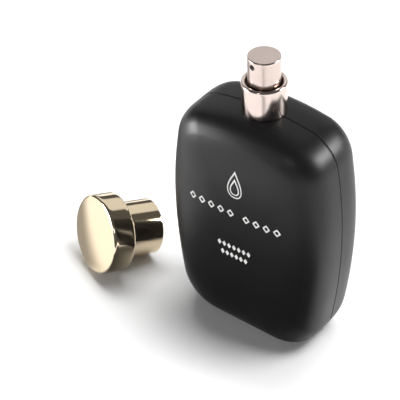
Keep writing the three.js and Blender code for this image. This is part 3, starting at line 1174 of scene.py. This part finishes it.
@dataclass
class FrontPrint:
    """Raised white ink on the front face: an outlined drop over a row of lozenges and two fine rows."""

    shape: Pillow
    ink: float = 0.05
    sunk: float = 0.08
    stroke: float = 0.5
    row_height: float = 65.0
    row_width: float = 38.6
    row_gap: float = 1.6
    lozenge: tuple[float, float] = (1.6, 1.8)
    lozenge_eye: float = 0.52
    fullness: float = 1.8
    drop_crown: tuple[float, float] = (0.6, 80.3)
    drop_radius: float = 3.6
    drop_rise: float = 5.2
    drop_gap: float = 1.35
    fine_rows: tuple[tuple[float, float, int], ...] = ((48.1, 13.6, 7), (43.9, 10.8, 6))
    fine_mark: tuple[float, float] = (0.85, 1.35)

    def build(self) -> None:
        """Builds every mark and lets it ride on the bottle."""
        self._place("print_drop", [self._drop_band(0.0), self._drop_band(self.drop_gap)])
        self._place("print_row", [self._ring(x, self.row_height) for x in self._row_places()])
        for number, (height, width, count) in enumerate(self.fine_rows, 1):
            places = np.linspace(-width / 2, width / 2, count)
            marks = [self._mark(x, height) for x in places]
            self._place(f"print_fine_row_{number}", marks)

    def _row_places(self) -> Array:
        """Nine places across the row: five, then a wider gap, then four."""
        places = np.cumsum([0, 1, 1, 1, 1, self.row_gap, 1, 1, 1])
        return (places / places[-1] - 0.5) * self.row_width

    def _on_face(self, x: Array, z: Array, lift: float) -> Array:
        """Points at a height above the front face, which looks along -Y."""
        return np.stack([x, self.shape.front(x, z) - lift, z], -1)

    def _lozenge_outline(self, x: float, z: float, half: tuple[float, float]) -> Array:
        """A lozenge with slightly full sides: half x (|cos|^f, |sin|^f) of the angle, with signs.

        Args:
            x: Where its middle is across the face.
            z: The height of its middle.
            half: Half its width and half its height.

        Returns:
            One closed turn, as rows of x and height.
        """
        angle = np.linspace(0, 2 * math.pi, 32, endpoint=False)
        turn = np.stack([np.cos(angle), np.sin(angle)], -1)
        return np.array([x, z]) + np.array(half) * np.sign(turn) * np.abs(turn) ** self.fullness

    def _mark(self, x: float, z: float) -> Array:
        """A solid lozenge of the fine rows.

        Args:
            x: Where its middle is across the face.
            z: The height of its middle.

        Returns:
            Its grid, whose rows run from the middle above to the middle below.
        """
        outline = self._lozenge_outline(x, z, self.fine_mark)
        middle = np.broadcast_to([[x, z]], outline.shape)
        loops = [(middle, self.ink), (outline, self.ink), (outline, -self.sunk), (middle, -self.sunk)]
        return np.stack([self._on_face(loop[:, 0], loop[:, 1], lift) for loop, lift in loops])

    def _ring(self, x: float, z: float) -> Array:
        """A lozenge of the main row, left open in its middle.

        Args:
            x: Where its middle is across the face.
            z: The height of its middle.

        Returns:
            Its grid, as the loops round its section.
        """
        eye = (self.lozenge[0] * self.lozenge_eye, self.lozenge[1] * self.lozenge_eye)
        outer, inner = self._lozenge_outline(x, z, self.lozenge), self._lozenge_outline(x, z, eye)
        return self._band(outer, inner)

    def _band(self, outer: Array, inner: Array) -> Array:
        """A band of ink between two outlines, as the loops round its section.

        Args:
            outer: The outer outline.
            inner: The inner outline, with as many points.

        Returns:
            Its grid.
        """
        top, foot = self.ink, -self.sunk
        loops = [(outer, foot), (outer, top), (inner, top), (inner, foot), (outer, foot)]
        return np.stack([self._on_face(loop[:, 0], loop[:, 1], lift) for loop, lift in loops])

    def _drop_outline(self, inset: float) -> Array:
        """The outline of a drop, moved inwards by the inset.

        With t the share of half a turn from the foot, a point of a circle is drawn in sideways
        by 1 - 0.35 t^2 and lifted by rise x t^3, so that the round foot runs up to a point.

        Args:
            inset: How far inwards, at the foot.

        Returns:
            One closed turn from the point, as rows of x and height.
        """
        turn = np.linspace(-math.pi, math.pi, 97)[:-1]
        share = np.abs(turn) / math.pi
        radius = self.drop_radius - inset
        x = radius * np.sin(turn) * (1 - 0.35 * share**2)
        z = (self.drop_rise - 1.6 * inset) * share**3 - radius * np.cos(turn) - self.drop_radius
        return np.stack([self.drop_crown[0] + x, self.drop_crown[1] + z], -1)

    def _drop_band(self, inset: float) -> Array:
        """A band of ink along the drop's outline, as wide as the stroke."""
        return self._band(self._drop_outline(inset), self._drop_outline(inset + self.stroke))

    def _place(self, name: str, grids: list[Array]) -> None:
        """Joins the marks of one print into one piece and dresses it in ink.

        Args:
            name: The print's name.
            grids: The grid of each mark.
        """
        points, quads, start = [], [], 0
        for grid in grids:
            flat = grid.reshape(-1, 3)
            faces = grid_faces(*grid.shape[:2], False)
            if signed_volume(flat, faces) < 0:
                faces = faces[:, ::-1]
            points.append(flat)
            quads.append(faces + start)
            start += len(flat)
        places = np.vstack(points)
        piece = piece_from_arrays(name, places, np.vstack(quads), np.zeros(len(places)))
        dress(piece, WHITE_INK, "bottle")


# ---- closure on the neck ----


@dataclass
class Closure:
    """What the crimp holds on the neck: gasket, ferrule and dress collar."""

    collar_bore: float = 7.85
    lip: float = 6.8
    lip_depth: float = 2.0
    wall: float = 0.35
    tower: float = 4.95
    tower_height: float = 1.95
    throat: float = 2.6
    crimp: float = 0.5
    crimp_depth: float = 3.0
    crimp_slope: float = 0.6
    gasket_bore: float = 4.6

    def build(self) -> None:
        """Builds the three rings."""
        self._collar()
        self._ferrule()
        seal = Extent.of("neck_gasket")
        corners = ring_corners(self.gasket_bore, seal.radius, seal.low, seal.high, 0.15)
        dress(turned("gasket", corners, True), SEAL_RUBBER, "bottle", "neck_gasket")

    def _collar(self) -> None:
        """The dress collar: a straight tube whose top is rolled inwards to a round lip."""
        at = Extent.of("collar")
        roll = (at.radius - self.lip) / 2
        lower = [
            (self.lip, at.high - self.lip_depth, 0.15),
            (self.collar_bore, at.high - self.lip_depth - roll, 0.3),
            (self.collar_bore, at.low, 0.05),
            (at.radius, at.low, 0.3),
            (at.radius, at.low + 1, 0),
        ]
        straight, worn = section([*lower, (at.radius, at.high - 2 * roll, 0)], False)
        rim = arc((at.radius - roll, at.high - roll), roll, 0, 180, 16)
        outline = np.vstack([straight, rim])
        exposed = np.r_[worn, np.sin(np.linspace(0, math.pi, len(rim)))]
        piece = turned_outline("dress_collar", outline, exposed, True, 160)
        dress(piece, ROSE_ANODISED, "bottle", "collar")

    def _ferrule(self) -> None:
        """The aluminium ferrule, crimped under the bead and drawn up to a tower."""
        at = Extent.of("crimp_ferrule")
        inner = at.radius - self.wall
        plate = at.high - self.tower_height
        under = Extent.of("glass_bottle").high - self.crimp_depth
        throat = self.tower - self.wall
        corners = [
            (self.throat, at.high, 0.1),
            (self.throat, at.high - self.wall, 0.1),
            (throat, at.high - self.wall, 0.2),
            (throat, plate - self.wall, 0.1),
            (inner, plate - self.wall, 0.2),
            (inner, under + self.crimp_slope, 0.2),
            (inner - self.crimp, under, 0.1),
            (inner - self.crimp, under - self.wall, 0.1),
            (at.radius, under, 0.2),
            (at.radius, plate, 0.4),
            (self.tower, plate, 0.2),
            (self.tower, at.high, 0.35),
        ]
        dress(turned("ferrule", corners, True), MILL_ALUMINIUM, "bottle", "crimp_ferrule")


def ring_corners(inner: float, outer: float, low: float, high: float, rounding: float) -> list[Corner]:
    """The corners of a plain ring's section, all rounded alike."""
    places = [(inner, high), (inner, low), (outer, low), (outer, high)]
    return [(r, z, rounding) for r, z in places]


# ---- pump ----


@dataclass
class Pump:
    """The pump below the ferrule: chamber, valves, springs, stem and tube."""

    housing_bore: float = 3.6
    housing_radius: float = 4.4
    flange: float = 0.6
    chamber_depth: float = 23.4
    chamber_floor: float = 0.7
    cage_mouth: float = 1.05
    cage_lip: float = 0.3
    cage_bore: float = 1.6
    cage_depth: float = 1.9
    cage_radius: float = 2.9
    ball_seat: float = 0.7
    seat_cone: float = 0.9
    seat_wall: float = 0.5
    socket_bore: float = 1.5
    socket_radius: float = 2.4
    plug_bore: float = 1.75
    plug_radius: float = 3.5
    seal_bore: float = 1.7
    stem_bore: float = 0.6
    stem_foot: float = 1.5
    stem_radius: float = 1.6
    stem_shoulder: float = 2.9
    port_radius: float = 0.3
    piston_bore: float = 1.62
    piston_skirt: float = 3.2
    poppet_pin: float = 0.9
    poppet_guide: float = 1.45
    poppet_plug: float = 0.45
    tube_radius: float = 1.35
    tube_bore: float = 0.9
    tube_bend: float = 25.0
    stroke: float = 4.2
    slip: float = 0.8

    def build(self) -> None:
        """Builds every piece of the pump."""
        self._housing()
        self._turret_and_washer()
        self._moving_stack()
        self._springs()
        self._tube()

    @property
    def floor(self) -> float:
        """The height of the chamber's floor."""
        return Extent.of("pump_housing").high - self.chamber_depth

    def _housing(self) -> None:
        """The chamber hung from its flange, the ball's cage under it and the tube's socket."""
        at, floor = Extent.of("pump_housing"), self.floor
        seat = floor - self.cage_lip - self.cage_depth
        cone = seat - self.seat_cone
        socket = cone - self.seat_wall
        corners = [
            (self.housing_bore, at.high, 0.15),
            (self.housing_bore, floor, 0.2),
            (self.cage_mouth, floor, 0.08),
            (self.cage_mouth, floor - self.cage_lip, 0.08),
            (self.cage_bore, floor - self.cage_lip, 0),
            (self.cage_bore, seat, 0.05),
            (self.ball_seat, cone, 0.05),
            (self.ball_seat, socket, 0),
            (self.socket_bore, socket, 0),
            (self.socket_bore, at.low, 0.15),
            (self.socket_radius, at.low, 0.2),
            (self.socket_radius, socket, 0.2),
            (self.cage_radius, cone, 0.2),
            (self.cage_radius, floor - self.chamber_floor, 0.3),
            (self.housing_radius, floor - self.chamber_floor, 0.4),
            (self.housing_radius, at.high - self.flange, 0.2),
            (at.radius, at.high - self.flange, 0.15),
            (at.radius, at.high, 0.15),
        ]
        dress(turned("pump_chamber", corners, True, 96), NATURAL_PLASTIC, "bottle", "pump_housing")

    def _turret_and_washer(self) -> None:
        """The plug that closes the chamber and guides the stem, and the seal under it."""
        at = Extent.of("turret")
        step = Extent.of("pump_housing").high + GAP
        corners = [
            (self.plug_bore, at.high, 0.12),
            (self.plug_bore, at.low, 0.12),
            (self.plug_radius, at.low, 0.3),
            (self.plug_radius, step, 0.05),
            (at.radius, step, 0.1),
            (at.radius, at.high, 0.3),
        ]
        dress(turned("chamber_plug", corners, True, 96), NATURAL_PLASTIC, "bottle", "turret")
        seal = Extent.of("stem_washer")
        corners = ring_corners(self.seal_bore, seal.radius, seal.low, seal.high, 0.06)
        dress(turned("stem_seal", corners, True, 96), SEAL_RUBBER, "bottle", "stem_washer")

    def _moving_stack(self) -> None:
        """The stem with its port, the piston, the poppet and the inlet ball."""
        self._stem()
        self._piston()
        self._poppet()
        ball = Extent.of("inlet_ball")
        radius = (ball.high - ball.low) / 2
        outline = arc((0, ball.low + radius), radius, -90, 90, 24)
        outline[[0, -1], 0] = 0
        sphere = turned_outline("ball_valve", outline, np.zeros(len(outline)), False, 48)
        dress(sphere, BRIGHT_STEEL, "ball", "inlet_ball")

    def _stem(self) -> None:
        """The stem: a tube with a shoulder under the seal, and a port across its foot."""
        stem = Extent.of("stem")
        shoulder = Extent.of("stem_washer").low - GAP
        corners = [
            (self.stem_bore, stem.high, 0.15),
            (self.stem_bore, stem.low, 0.05),
            (self.stem_foot, stem.low, 0.1),
            (self.stem_foot, shoulder - 1, 0.05),
            (self.stem_shoulder, shoulder - 1, 0.1),
            (self.stem_shoulder, shoulder, 0.15),
            (self.stem_radius, shoulder, 0.05),
            (self.stem_radius, stem.high, 0.15),
        ]
        tube = turned("pump_stem", corners, True, 96)
        port = stem.low + 2 * self.port_radius
        drill = bar(self.port_radius, Vector((0, -4, port)), Vector((0, 4, port)))
        combine(tube, drill, Joining.CUT)
        dress(tube, NATURAL_PLASTIC, "plunger", "stem")

    def _piston(self) -> None:
        """The piston: a sleeve with a sealing lip at its foot and a skirt against the chamber."""
        at = Extent.of("piston")
        corners = [
            (self.piston_bore, at.high, 0.1),
            (self.piston_bore, at.low + 0.35, 0.05),
            (2.2, at.low, 0.05),
            (2.6, at.low, 0.1),
            (2.9, at.low + 1.6, 0.1),
            (self.piston_skirt, at.low + 0.2, 0.05),
            (at.radius, at.low + 0.2, 0.05),
            (at.radius, at.high - 0.6, 0.2),
            (self.piston_skirt, at.high, 0.15),
        ]
        dress(turned("pump_piston", corners, True, 96), NATURAL_PLASTIC, "piston", "piston")

    def _poppet(self) -> None:
        """The valve seat on its pin, with a flange and a guide for the return spring."""
        at = Extent.of("poppet")
        seat, cone = at.low + 2.4, at.low + 2.8
        guide = cone + 1.75
        corners = [
            (0, at.low, 0),
            (self.poppet_pin, at.low, 0.3),
            (self.poppet_pin, seat, 0.1),
            (at.radius, seat, 0.1),
            (at.radius, cone, 0.05),
            (self.poppet_guide, guide, 0.1),
            (self.poppet_plug, guide, 0.05),
            (self.poppet_plug, at.high, 0.15),
            (0, at.high, 0),
        ]
        dress(turned("valve_poppet", corners, False, 96), NATURAL_PLASTIC, "plunger", "poppet")

    def _springs(self) -> None:
        """The two springs."""
        low = Extent.of("return_spring")
        coil = coil_spring("coil_return", 2.6, 0.3, low, 7)
        dress(coil, BRIGHT_STEEL, "bottle", "return_spring")
        keep = 1 - self.stroke / (low.high - self.floor)
        self.floor * MM
        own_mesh(coil)
        high = Extent.of("valve_spring")
        coil = coil_spring("coil_valve", 2.3, 0.22, high, 5)
        dress(coil, BRIGHT_STEEL, "plunger", "valve_spring")
        keep = 1 - self.slip / (high.high - high.low)
        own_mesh(coil)

    def _tube(self) -> None:
        """The dip tube: a soft curve from its socket towards a corner of the base, cut askew."""
        at = Extent.of("dip_tube")
        _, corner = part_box("dip_tube")
        foot = at.low + 1
        start, stop = np.array([0, 0, at.high]), np.array([corner.x / MM - 1.3, 0, foot])
        pull = [start - [0, 0, self.tube_bend], np.array([0, 0, foot + self.tube_bend])]
        t = np.linspace(0, 1, 61)[:, None]
        parts = [(1 - t) ** 3, 3 * t * (1 - t) ** 2, 3 * t**2 * (1 - t), t**3]
        path = sum(p * q for p, q in zip(parts, [start, *pull, stop]))
        spin = np.linspace(0, 2 * math.pi, 40, endpoint=False)
        loop = np.stack([np.cos(spin), np.sin(spin)], -1)
        side = np.tile([0.0, 1.0, 0.0], (len(path), 1))
        outer = swept(path, self.tube_radius * loop, side)
        inner = swept(path, self.tube_bore * loop, side)
        grid = np.vstack([outer, inner[::-1]])
        tube = piece_from_grid("intake_tube", grid, wrap_rows=True)
        dress(tube, NATURAL_PLASTIC, "bottle", "dip_tube")


def coil_spring(name: str, radius: float, wire: float, room: Extent, turns: int) -> Piece:
    """A coil spring with a closed turn at each end.

    The wire's middle is (r cos a, r sin a, z), with u turns made so far. Each end turn climbs by
    little more than the wire's width, which is a share of ends(u) = clip(u) + clip(u - turns + 1).
    The rest of the height is climbed between them, by clip((u - 0.8) / (turns - 1.6)).

    Args:
        name: The spring's name.
        radius: From the axis to the middle of the wire.
        wire: Radius of the wire.
        room: Where the spring lies.
        turns: Number of turns.

    Returns:
        The spring.
    """
    made = np.linspace(0, 1, turns * 40 + 1) * turns
    climb = np.clip((made - 0.8) / (turns - 1.6), 0, 1)
    ends = np.clip(made, 0, 1) + np.clip(made - turns + 1, 0, 1)
    end_climb = 2.1 * wire
    open_climb = room.high - room.low - 2 * wire - 2 * end_climb
    height = room.low + wire + open_climb * climb + end_climb * ends
    angle = 2 * math.pi * made
    outward = np.stack([np.cos(angle), np.sin(angle), 0 * angle], -1)
    path = radius * outward + np.stack([0 * height, 0 * height, height], -1)
    spin = np.linspace(0, 2 * math.pi, 16, endpoint=False)
    loop = wire * np.stack([np.cos(spin), np.sin(spin)], -1)
    return piece_from_grid(name, closed_ends(swept(path, loop, outward)))


# ---- actuator ----


@dataclass
class Actuator:
    """The push button: a plastic core, a drawn metal sleeve over it and the nozzle in its side."""

    turn: float = -10.2
    skin: float = 0.4
    edge: float = 0.5
    nozzle_height: float = 122.65
    hole: float = 1.15
    channel: float = 0.5
    socket: float = 1.65
    skirt: float = 1.9
    skirt_wall: float = 0.45
    nozzle_radius: float = 1.05
    nozzle_back: float = 3.1
    nozzle_face: float = 5.55

    def build(self) -> None:
        """Builds the three pieces."""
        self._core()
        self._sleeve()
        self._nozzle()

    def _forward(self, distance: float, height: float) -> Vector:
        """A point in front of the axis, on the nozzle's side."""
        angle = math.radians(self.turn - 90)
        return Vector((distance * math.cos(angle), distance * math.sin(angle), height))

    def _core(self) -> None:
        """The core: a socket for the stem, a channel, and a pocket for the nozzle."""
        at, stem = Extent.of("actuator_core"), Extent.of("stem")
        roof = self.nozzle_height + self.channel
        skirt, inner = at.low + self.skirt, at.radius - self.skirt_wall
        corners = [
            (0, roof, 0),
            (self.channel, roof, 0.1),
            (self.channel, stem.high + GAP, 0.05),
            (self.socket, stem.high + GAP, 0.1),
            (self.socket, skirt, 0.1),
            (inner, skirt, 0.2),
            (inner, at.low, 0.1),
            (at.radius, at.low, 0.1),
            (at.radius, at.high, 0.4),
            (0, at.high, 0),
        ]
        core = turned("button_core", corners, False, 96)
        pocket, way_in = (self.hole, 3.0, at.radius + 1), (self.channel, 0.0, 3.1)
        for radius, start, stop in (pocket, way_in):
            ends = (self._forward(reach, self.nozzle_height) for reach in (start, stop))
            combine(core, bar(radius, *ends), Joining.CUT)
        dress(core, NATURAL_PLASTIC, "actuator", "actuator_core")

    def _sleeve(self) -> None:
        """The sleeve: a drawn cup with a rounded rim and a hole in front of the nozzle."""
        at = Extent.of("actuator_sleeve")
        inner = at.radius - self.skin
        corners = [
            (0, at.high - self.skin, 0),
            (inner, at.high - self.skin, 0.3),
            (inner, at.low, 0.08),
            (at.radius, at.low, 0.12),
            (at.radius, at.low + 6, 0),
            (at.radius, at.high, self.edge),
            (0, at.high, 0),
        ]
        sleeve = turned("button_sleeve", corners, False, 192)
        ends = self._forward(4.0, self.nozzle_height), self._forward(8.0, self.nozzle_height)
        combine(sleeve, bar(self.hole, *ends, 64), Joining.CUT)
        dress(sleeve, PALE_ANODISED, "actuator", "actuator_sleeve")

    def _nozzle(self) -> None:
        """The nozzle: a small cup with a dished face and a fine orifice."""
        corners = [
            (0.2, 4.95, 0.04),
            (0.2, 3.9, 0.04),
            (0.6, self.nozzle_back, 0.04),
            (self.nozzle_radius, self.nozzle_back, 0.1),
            (self.nozzle_radius, self.nozzle_face, 0.15),
            (0.75, self.nozzle_face, 0.1),
        ]
        facing = self._forward(1.0, 0.0).to_track_quat("Z", "Y").to_matrix().to_4x4()
        placing = Matrix.Translation((0, 0, self.nozzle_height)) @ facing
        nozzle = turned("spray_nozzle", corners, True, 64, placing)
        dress(nozzle, BLACK_PLASTIC, "actuator", "nozzle_insert")


# ---- cap ----


@dataclass
class Cap:
    """The mushroom cap on its side: a metal shell, a plastic liner and a steel ring in its neck.

    In its own frame the mouth is at height 0 and the face at the top.
    """

    head_radius: float = 16.8
    neck_radius: float = 11.9
    neck_length: float = 16.5
    length: float = 26.95
    dome: float = 0.6
    wall: float = 0.9
    head_edge: float = 1.2
    mouth_edge: float = 0.45
    liner_bore: float = 8.6
    liner_radius: float = 9.7
    liner_mouth: float = 0.5
    liner_end: float = 25.1
    liner_wall: float = 1.0
    weight_bore: float = 9.85
    weight_radius: float = 10.9
    weight_reach: tuple[float, float] = (3.0, 16.0)
    yaw: float = -21.7
    mouth: tuple[float, float] = (-62.3, 2.6)

    @property
    def lean(self) -> float:
        """How far the axis leans, in radians: the slope of the line under both round edges.

        Returns:
            The lean.
        """
        out = self.head_radius - self.head_edge - self.neck_radius + self.mouth_edge
        along = self.neck_length + self.head_edge - self.mouth_edge
        rise = (self.head_edge - self.mouth_edge) / math.hypot(out, along)
        return math.atan2(out, along) + math.asin(rise)

    @property
    def rotation(self) -> Euler:
        """The turn from the cap's own frame to where it lies."""
        return Euler((math.pi / 2 - self.lean, 0, math.radians(self.yaw)), "XYZ")

    @property
    def placing(self) -> Matrix:
        """Where the cap's own frame lies, in millimetres.

        Returns:
            The frame's place and turn.
        """
        rim = self.neck_radius - self.mouth_edge
        height = self.mouth_edge * (1 - math.sin(self.lean)) + rim * math.cos(self.lean)
        return Matrix.Translation((*self.mouth, height)) @ self.rotation.to_matrix().to_4x4()

    def build(self) -> None:
        """Builds the three pieces."""
        where = tuple(self.placing.translation * MM), tuple(self.rotation)
        dress(self._shell(), replace(PALE_GOLD, placing=where), "cap", "cap_shell")
        dress(self._liner(), BLACK_PLASTIC, "cap", "cap_liner")
        corners = ring_corners(self.weight_bore, self.weight_radius, *self.weight_reach, 0.15)
        ring = turned("steel_ring", corners, True, placing=self.placing)
        dress(ring, BRIGHT_STEEL, "cap", "cap_weight")

    def _liner(self) -> Piece:
        """The liner: a cup with a flared mouth, whose flange meets the shell's.

        Returns:
            The liner.
        """
        ceiling = self.liner_end - self.liner_wall
        under = self.liner_mouth + 0.8
        corners = [
            (0, ceiling, 0),
            (self.liner_bore, ceiling, 0.5),
            (self.liner_bore, self.liner_mouth + 0.6, 0.1),
            (self.liner_bore + 0.6, self.liner_mouth, 0.1),
            (self.weight_radius, self.liner_mouth, 0.15),
            (self.weight_radius, under, 0.1),
            (self.liner_radius, under, 0.1),
            (self.liner_radius, self.liner_end, 0.6),
            (0, self.liner_end, 0),
        ]
        return turned("inner_cup", corners, False, placing=self.placing)

    def _shell(self) -> Piece:
        """The drawn shell: a neck, a wider head with round edges, and a low domed face.

        The dome is an arc through the face's rim and middle, of radius (rim^2 + rise^2) / 2 rise.

        Returns:
            The shell.
        """
        rim = self.head_radius - self.head_edge
        dome_radius = (rim**2 + self.dome**2) / (2 * self.dome)
        dome_angle = math.degrees(math.asin(rim / dome_radius))
        back, ceiling = self.neck_length, self.length - self.wall
        inner_head, inner_neck = self.head_radius - self.wall, self.neck_radius - self.wall
        corners = [
            (0, ceiling, 0),
            (inner_head, ceiling, 0.6),
            (inner_head, back + self.wall, 0.6),
            (inner_neck, back + self.wall, 0.3),
            (inner_neck, 0, 0.12),
            (self.neck_radius, 0, self.mouth_edge),
            (self.neck_radius, back / 2, 0),
            (self.neck_radius, back, 0.25),
            (self.head_radius, back, self.head_edge),
            (self.head_radius, (back + self.length) / 2, 0),
        ]
        corners.append((self.head_radius, self.length - 2 * self.head_edge, 0))
        lower, worn = section(corners, False, 6)
        edge = arc((rim, self.length - self.head_edge), self.head_edge, 0, 90 - dome_angle, 8)
        face = arc((0, self.length + self.dome - dome_radius), dome_radius, 90 - dome_angle, 90, 24)
        face[-1, 0] = 0
        outline = np.vstack([lower, edge, face[1:]])
        exposed = np.r_[worn, np.ones(len(edge)), np.zeros(len(face) - 1)]
        return turned_outline("cap_shell_gold", outline, exposed, False, 192, self.placing)


# ---- studio ----


@dataclass(frozen=True)
class Card:
    """A card of the studio, in millimetres, that shows only in reflections.

    Attributes:
        name: Its name.
        place: The middle of the card.
        size: Its width and height.
        power: Its brightness.
        aim: The point it faces.
        soft: How wide the border is over which it fades out.
    """

    name: str
    place: tuple[float, float, float]
    size: tuple[float, float]
    power: float
    aim: tuple[float, float, float] = (0.0, 0.0, 60.0)
    soft: float = 80.0

    def build(self) -> None:
        """Makes the card as one emitting rectangle, outside the object."""
        mesh = bpy.data.meshes.new(self.name)
        across, up = self.size[0] / 2 * MM, self.size[1] / 2 * MM
        corners = [(-across, -up, 0), (across, -up, 0), (across, up, 0), (-across, up, 0)]
        mesh.from_pydata(corners, [], [(0, 1, 2, 3)])
        card = bpy.data.objects.new(self.name, mesh)
        bpy.context.scene.collection.objects.link(card)
        way = Vector(self.aim) - Vector(self.place)
        card.rotation_euler = way.to_track_quat("Z", "Y").to_euler()
        card.location = Vector(self.place) * MM
        card.visible_camera = False
        card.visible_shadow = False
        card.visible_diffuse = False
        mesh.materials.append(self._glow())

    def _glow(self) -> Material:
        """The card's light, which fades out over its border: the product of both ways' fades.

        Returns:
            The card's material.
        """
        material = bpy.data.materials.new(self.name)
        material.use_nodes = True
        desk = NodeDesk(material.node_tree)
        material.node_tree.nodes.remove(material.node_tree.nodes["Principled BSDF"])
        place = desk.add("ShaderNodeTexCoord").outputs["Object"]
        parts = desk.feed(desk.add("ShaderNodeSeparateXYZ"), Vector=place)
        fades = []
        for way, size in zip("XY", self.size):
            inside = desk.math("SUBTRACT", size / 2 * MM, desk.math("ABSOLUTE", parts.outputs[way]))
            fade = desk.add("ShaderNodeMapRange", interpolation_type="SMOOTHSTEP")
            fades.append(desk.feed(fade, Value=inside, From_Max=self.soft * MM).outputs[0])
        mix = desk.add("ShaderNodeMixShader")
        desk.put(mix.inputs["Fac"], desk.math("MULTIPLY", *fades))
        desk.put(mix.inputs[1], desk.add("ShaderNodeBsdfTransparent").outputs[0])
        glow = desk.feed(desk.add("ShaderNodeEmission"), Strength=self.power)
        desk.put(mix.inputs[2], glow.outputs[0])
        desk.put(material.node_tree.nodes["Material Output"].inputs["Surface"], mix.outputs[0])
        return material


@dataclass(frozen=True)
class Lamp:
    """A broad, even light from far away.

    Attributes:
        name: Its name.
        reach: How far a point one unit up throws its shadow, along x and y.
        spread: The angle that the light covers, in degrees.
        strength: Its strength on a surface that faces it.
    """

    name: str
    reach: tuple[float, float]
    spread: float
    strength: float

    def build(self) -> None:
        """Makes the light, which doesn't show in reflections."""
        data = bpy.data.lights.new(self.name, "SUN")
        data.angle = math.radians(self.spread)
        data.energy = self.strength
        lamp = bpy.data.objects.new(self.name, data)
        lamp.rotation_euler = Vector((*self.reach, -1)).to_track_quat("-Z", "Y").to_euler()
        lamp.visible_glossy = False
        bpy.context.scene.collection.objects.link(lamp)


@dataclass
class Studio:
    """The floor, the lights and the camera.

    Attributes:
        floor_size: Side of the floor.
        floor_drop: How far the floor lies under the bottle's base.
        sky: Strength of the even light from all round.
        sky_gloss: Its strength in reflections.
        camera_place: Where the camera stands.
        camera_turn: Its turn about X, Y and Z, in degrees.
        lens: Focal length.
        sensor: Width of the sensor.
        lamps: The lamps.
        cards: The cards, and three dim sheets on the floor that paint the floor's shade into
            reflections.
    """

    floor_size: float = 4000.0
    floor_drop: float = 0.02
    sky: float = 0.1
    sky_gloss: float = 0.1
    camera_place: tuple[float, float, float] = (224.246, -318.16, 389.375)
    camera_turn: tuple[float, float, float] = (49.636, 1.795, 37.287)
    lens: float = 119.45
    sensor: float = 36.0
    lamps: tuple[Lamp, ...] = (
        Lamp("lamp_right", (-0.45, -0.27), 25.0, 2.7),
        Lamp("lamp_middle", (0.0, -0.36), 20.0, 1.1),
        Lamp("lamp_back", (0.34, -0.28), 20.0, 0.8),
        Lamp("lamp_front", (1.0, 5.0), 40.0, 1.5),
    )
    cards: tuple[Card, ...] = (
        Card("card_left", (-590.0, -420.0, 120.0), (330.0, 300.0), 31.0),
        Card("card_right", (540.0, 430.0, 370.0), (330.0, 330.0), 29.0),
        Card("card_front", (69.0, -518.0, 421.0), (180.0, 180.0), 9.0),
        Card("card_back", (-400.0, 560.0, 500.0), (1350.0, 620.0), 0.85),
        # Three dim sheets on the floor, seen only in reflections: painted shade of the floor round the
        # bottle and the cap.
        Card("painted_shade_front", (18.0, -61.0, 0.3), (190.0, 108.0), 0.07, (18.0, -61.0, 100.0), 20.0),
        Card("painted_shade_camera", (85.0, -152.0, 0.3), (64.0, 110.0), 0.62, (85.0, -152.0, 100.0), 26.0),
        Card("painted_shade_left", (-165.0, 27.0, 0.3), (190.0, 130.0), 0.42, (-165.0, 27.0, 100.0), 12.0),
    )

    def build(self) -> None:
        """Sets up the whole studio."""
        self._floor()
        self._sky()
        self._camera()
        for item in (*self.lamps, *self.cards):
            item.build()
        bpy.context.scene.view_settings.view_transform = "Standard"

    def _floor(self) -> None:
        """A plain pale floor, just under the bottle's base."""
        half, level = self.floor_size / 2 * MM, -self.floor_drop * MM
        mesh = bpy.data.meshes.new("floor")
        corners = [(-half, -half), (half, -half), (half, half), (-half, half)]
        mesh.from_pydata([(x, y, level) for x, y in corners], [], [(0, 1, 2, 3)])
        floor = bpy.data.objects.new("floor", mesh)
        bpy.context.scene.collection.objects.link(floor)
        material = bpy.data.materials.new("floor")
        material.use_nodes = True
        shader = material.node_tree.nodes["Principled BSDF"]
        shader.inputs["Base Color"].default_value = (0.9, 0.9, 0.9, 1)
        shader.inputs["Roughness"].default_value = 0.9
        mesh.materials.append(material)

    def _sky(self) -> None:
        """Even light from all round, and plain white behind the floor."""
        world = bpy.data.worlds.new("studio")
        world.use_nodes = True
        desk = NodeDesk(world.node_tree)
        backdrop = world.node_tree.nodes["Background"]
        path = desk.add("ShaderNodeLightPath")
        mirrored = desk.spread(path.outputs["Is Glossy Ray"], self.sky, self.sky_gloss)
        strength = desk.spread(path.outputs["Is Camera Ray"], mirrored, 1.0)
        desk.feed(backdrop, Color=(1, 1, 1, 1), Strength=strength)
        bpy.context.scene.world = world

    def _camera(self) -> None:
        """The camera at the bottle's front right, looking down on it."""
        data = bpy.data.cameras.new("camera")
        data.lens, data.sensor_width = self.lens, self.sensor
        camera = bpy.data.objects.new("camera", data)
        camera.location = Vector(self.camera_place) * MM
        camera.rotation_euler = Euler([math.radians(a) for a in self.camera_turn], "XYZ")
        bpy.context.scene.collection.objects.link(camera)
        bpy.context.scene.camera = camera


# ---- the whole ----


def main() -> None:
    logging.basicConfig(level=logging.INFO, format="%(name)s: %(message)s")
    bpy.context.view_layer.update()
    bottle = GlassBottle()
    bottle.build()
    FrontPrint(bottle.shape).build()
    Closure().build()
    Pump().build()
    Actuator().build()
    Cap().build()
    Studio().build()


if __name__ == "__main__":
    main()
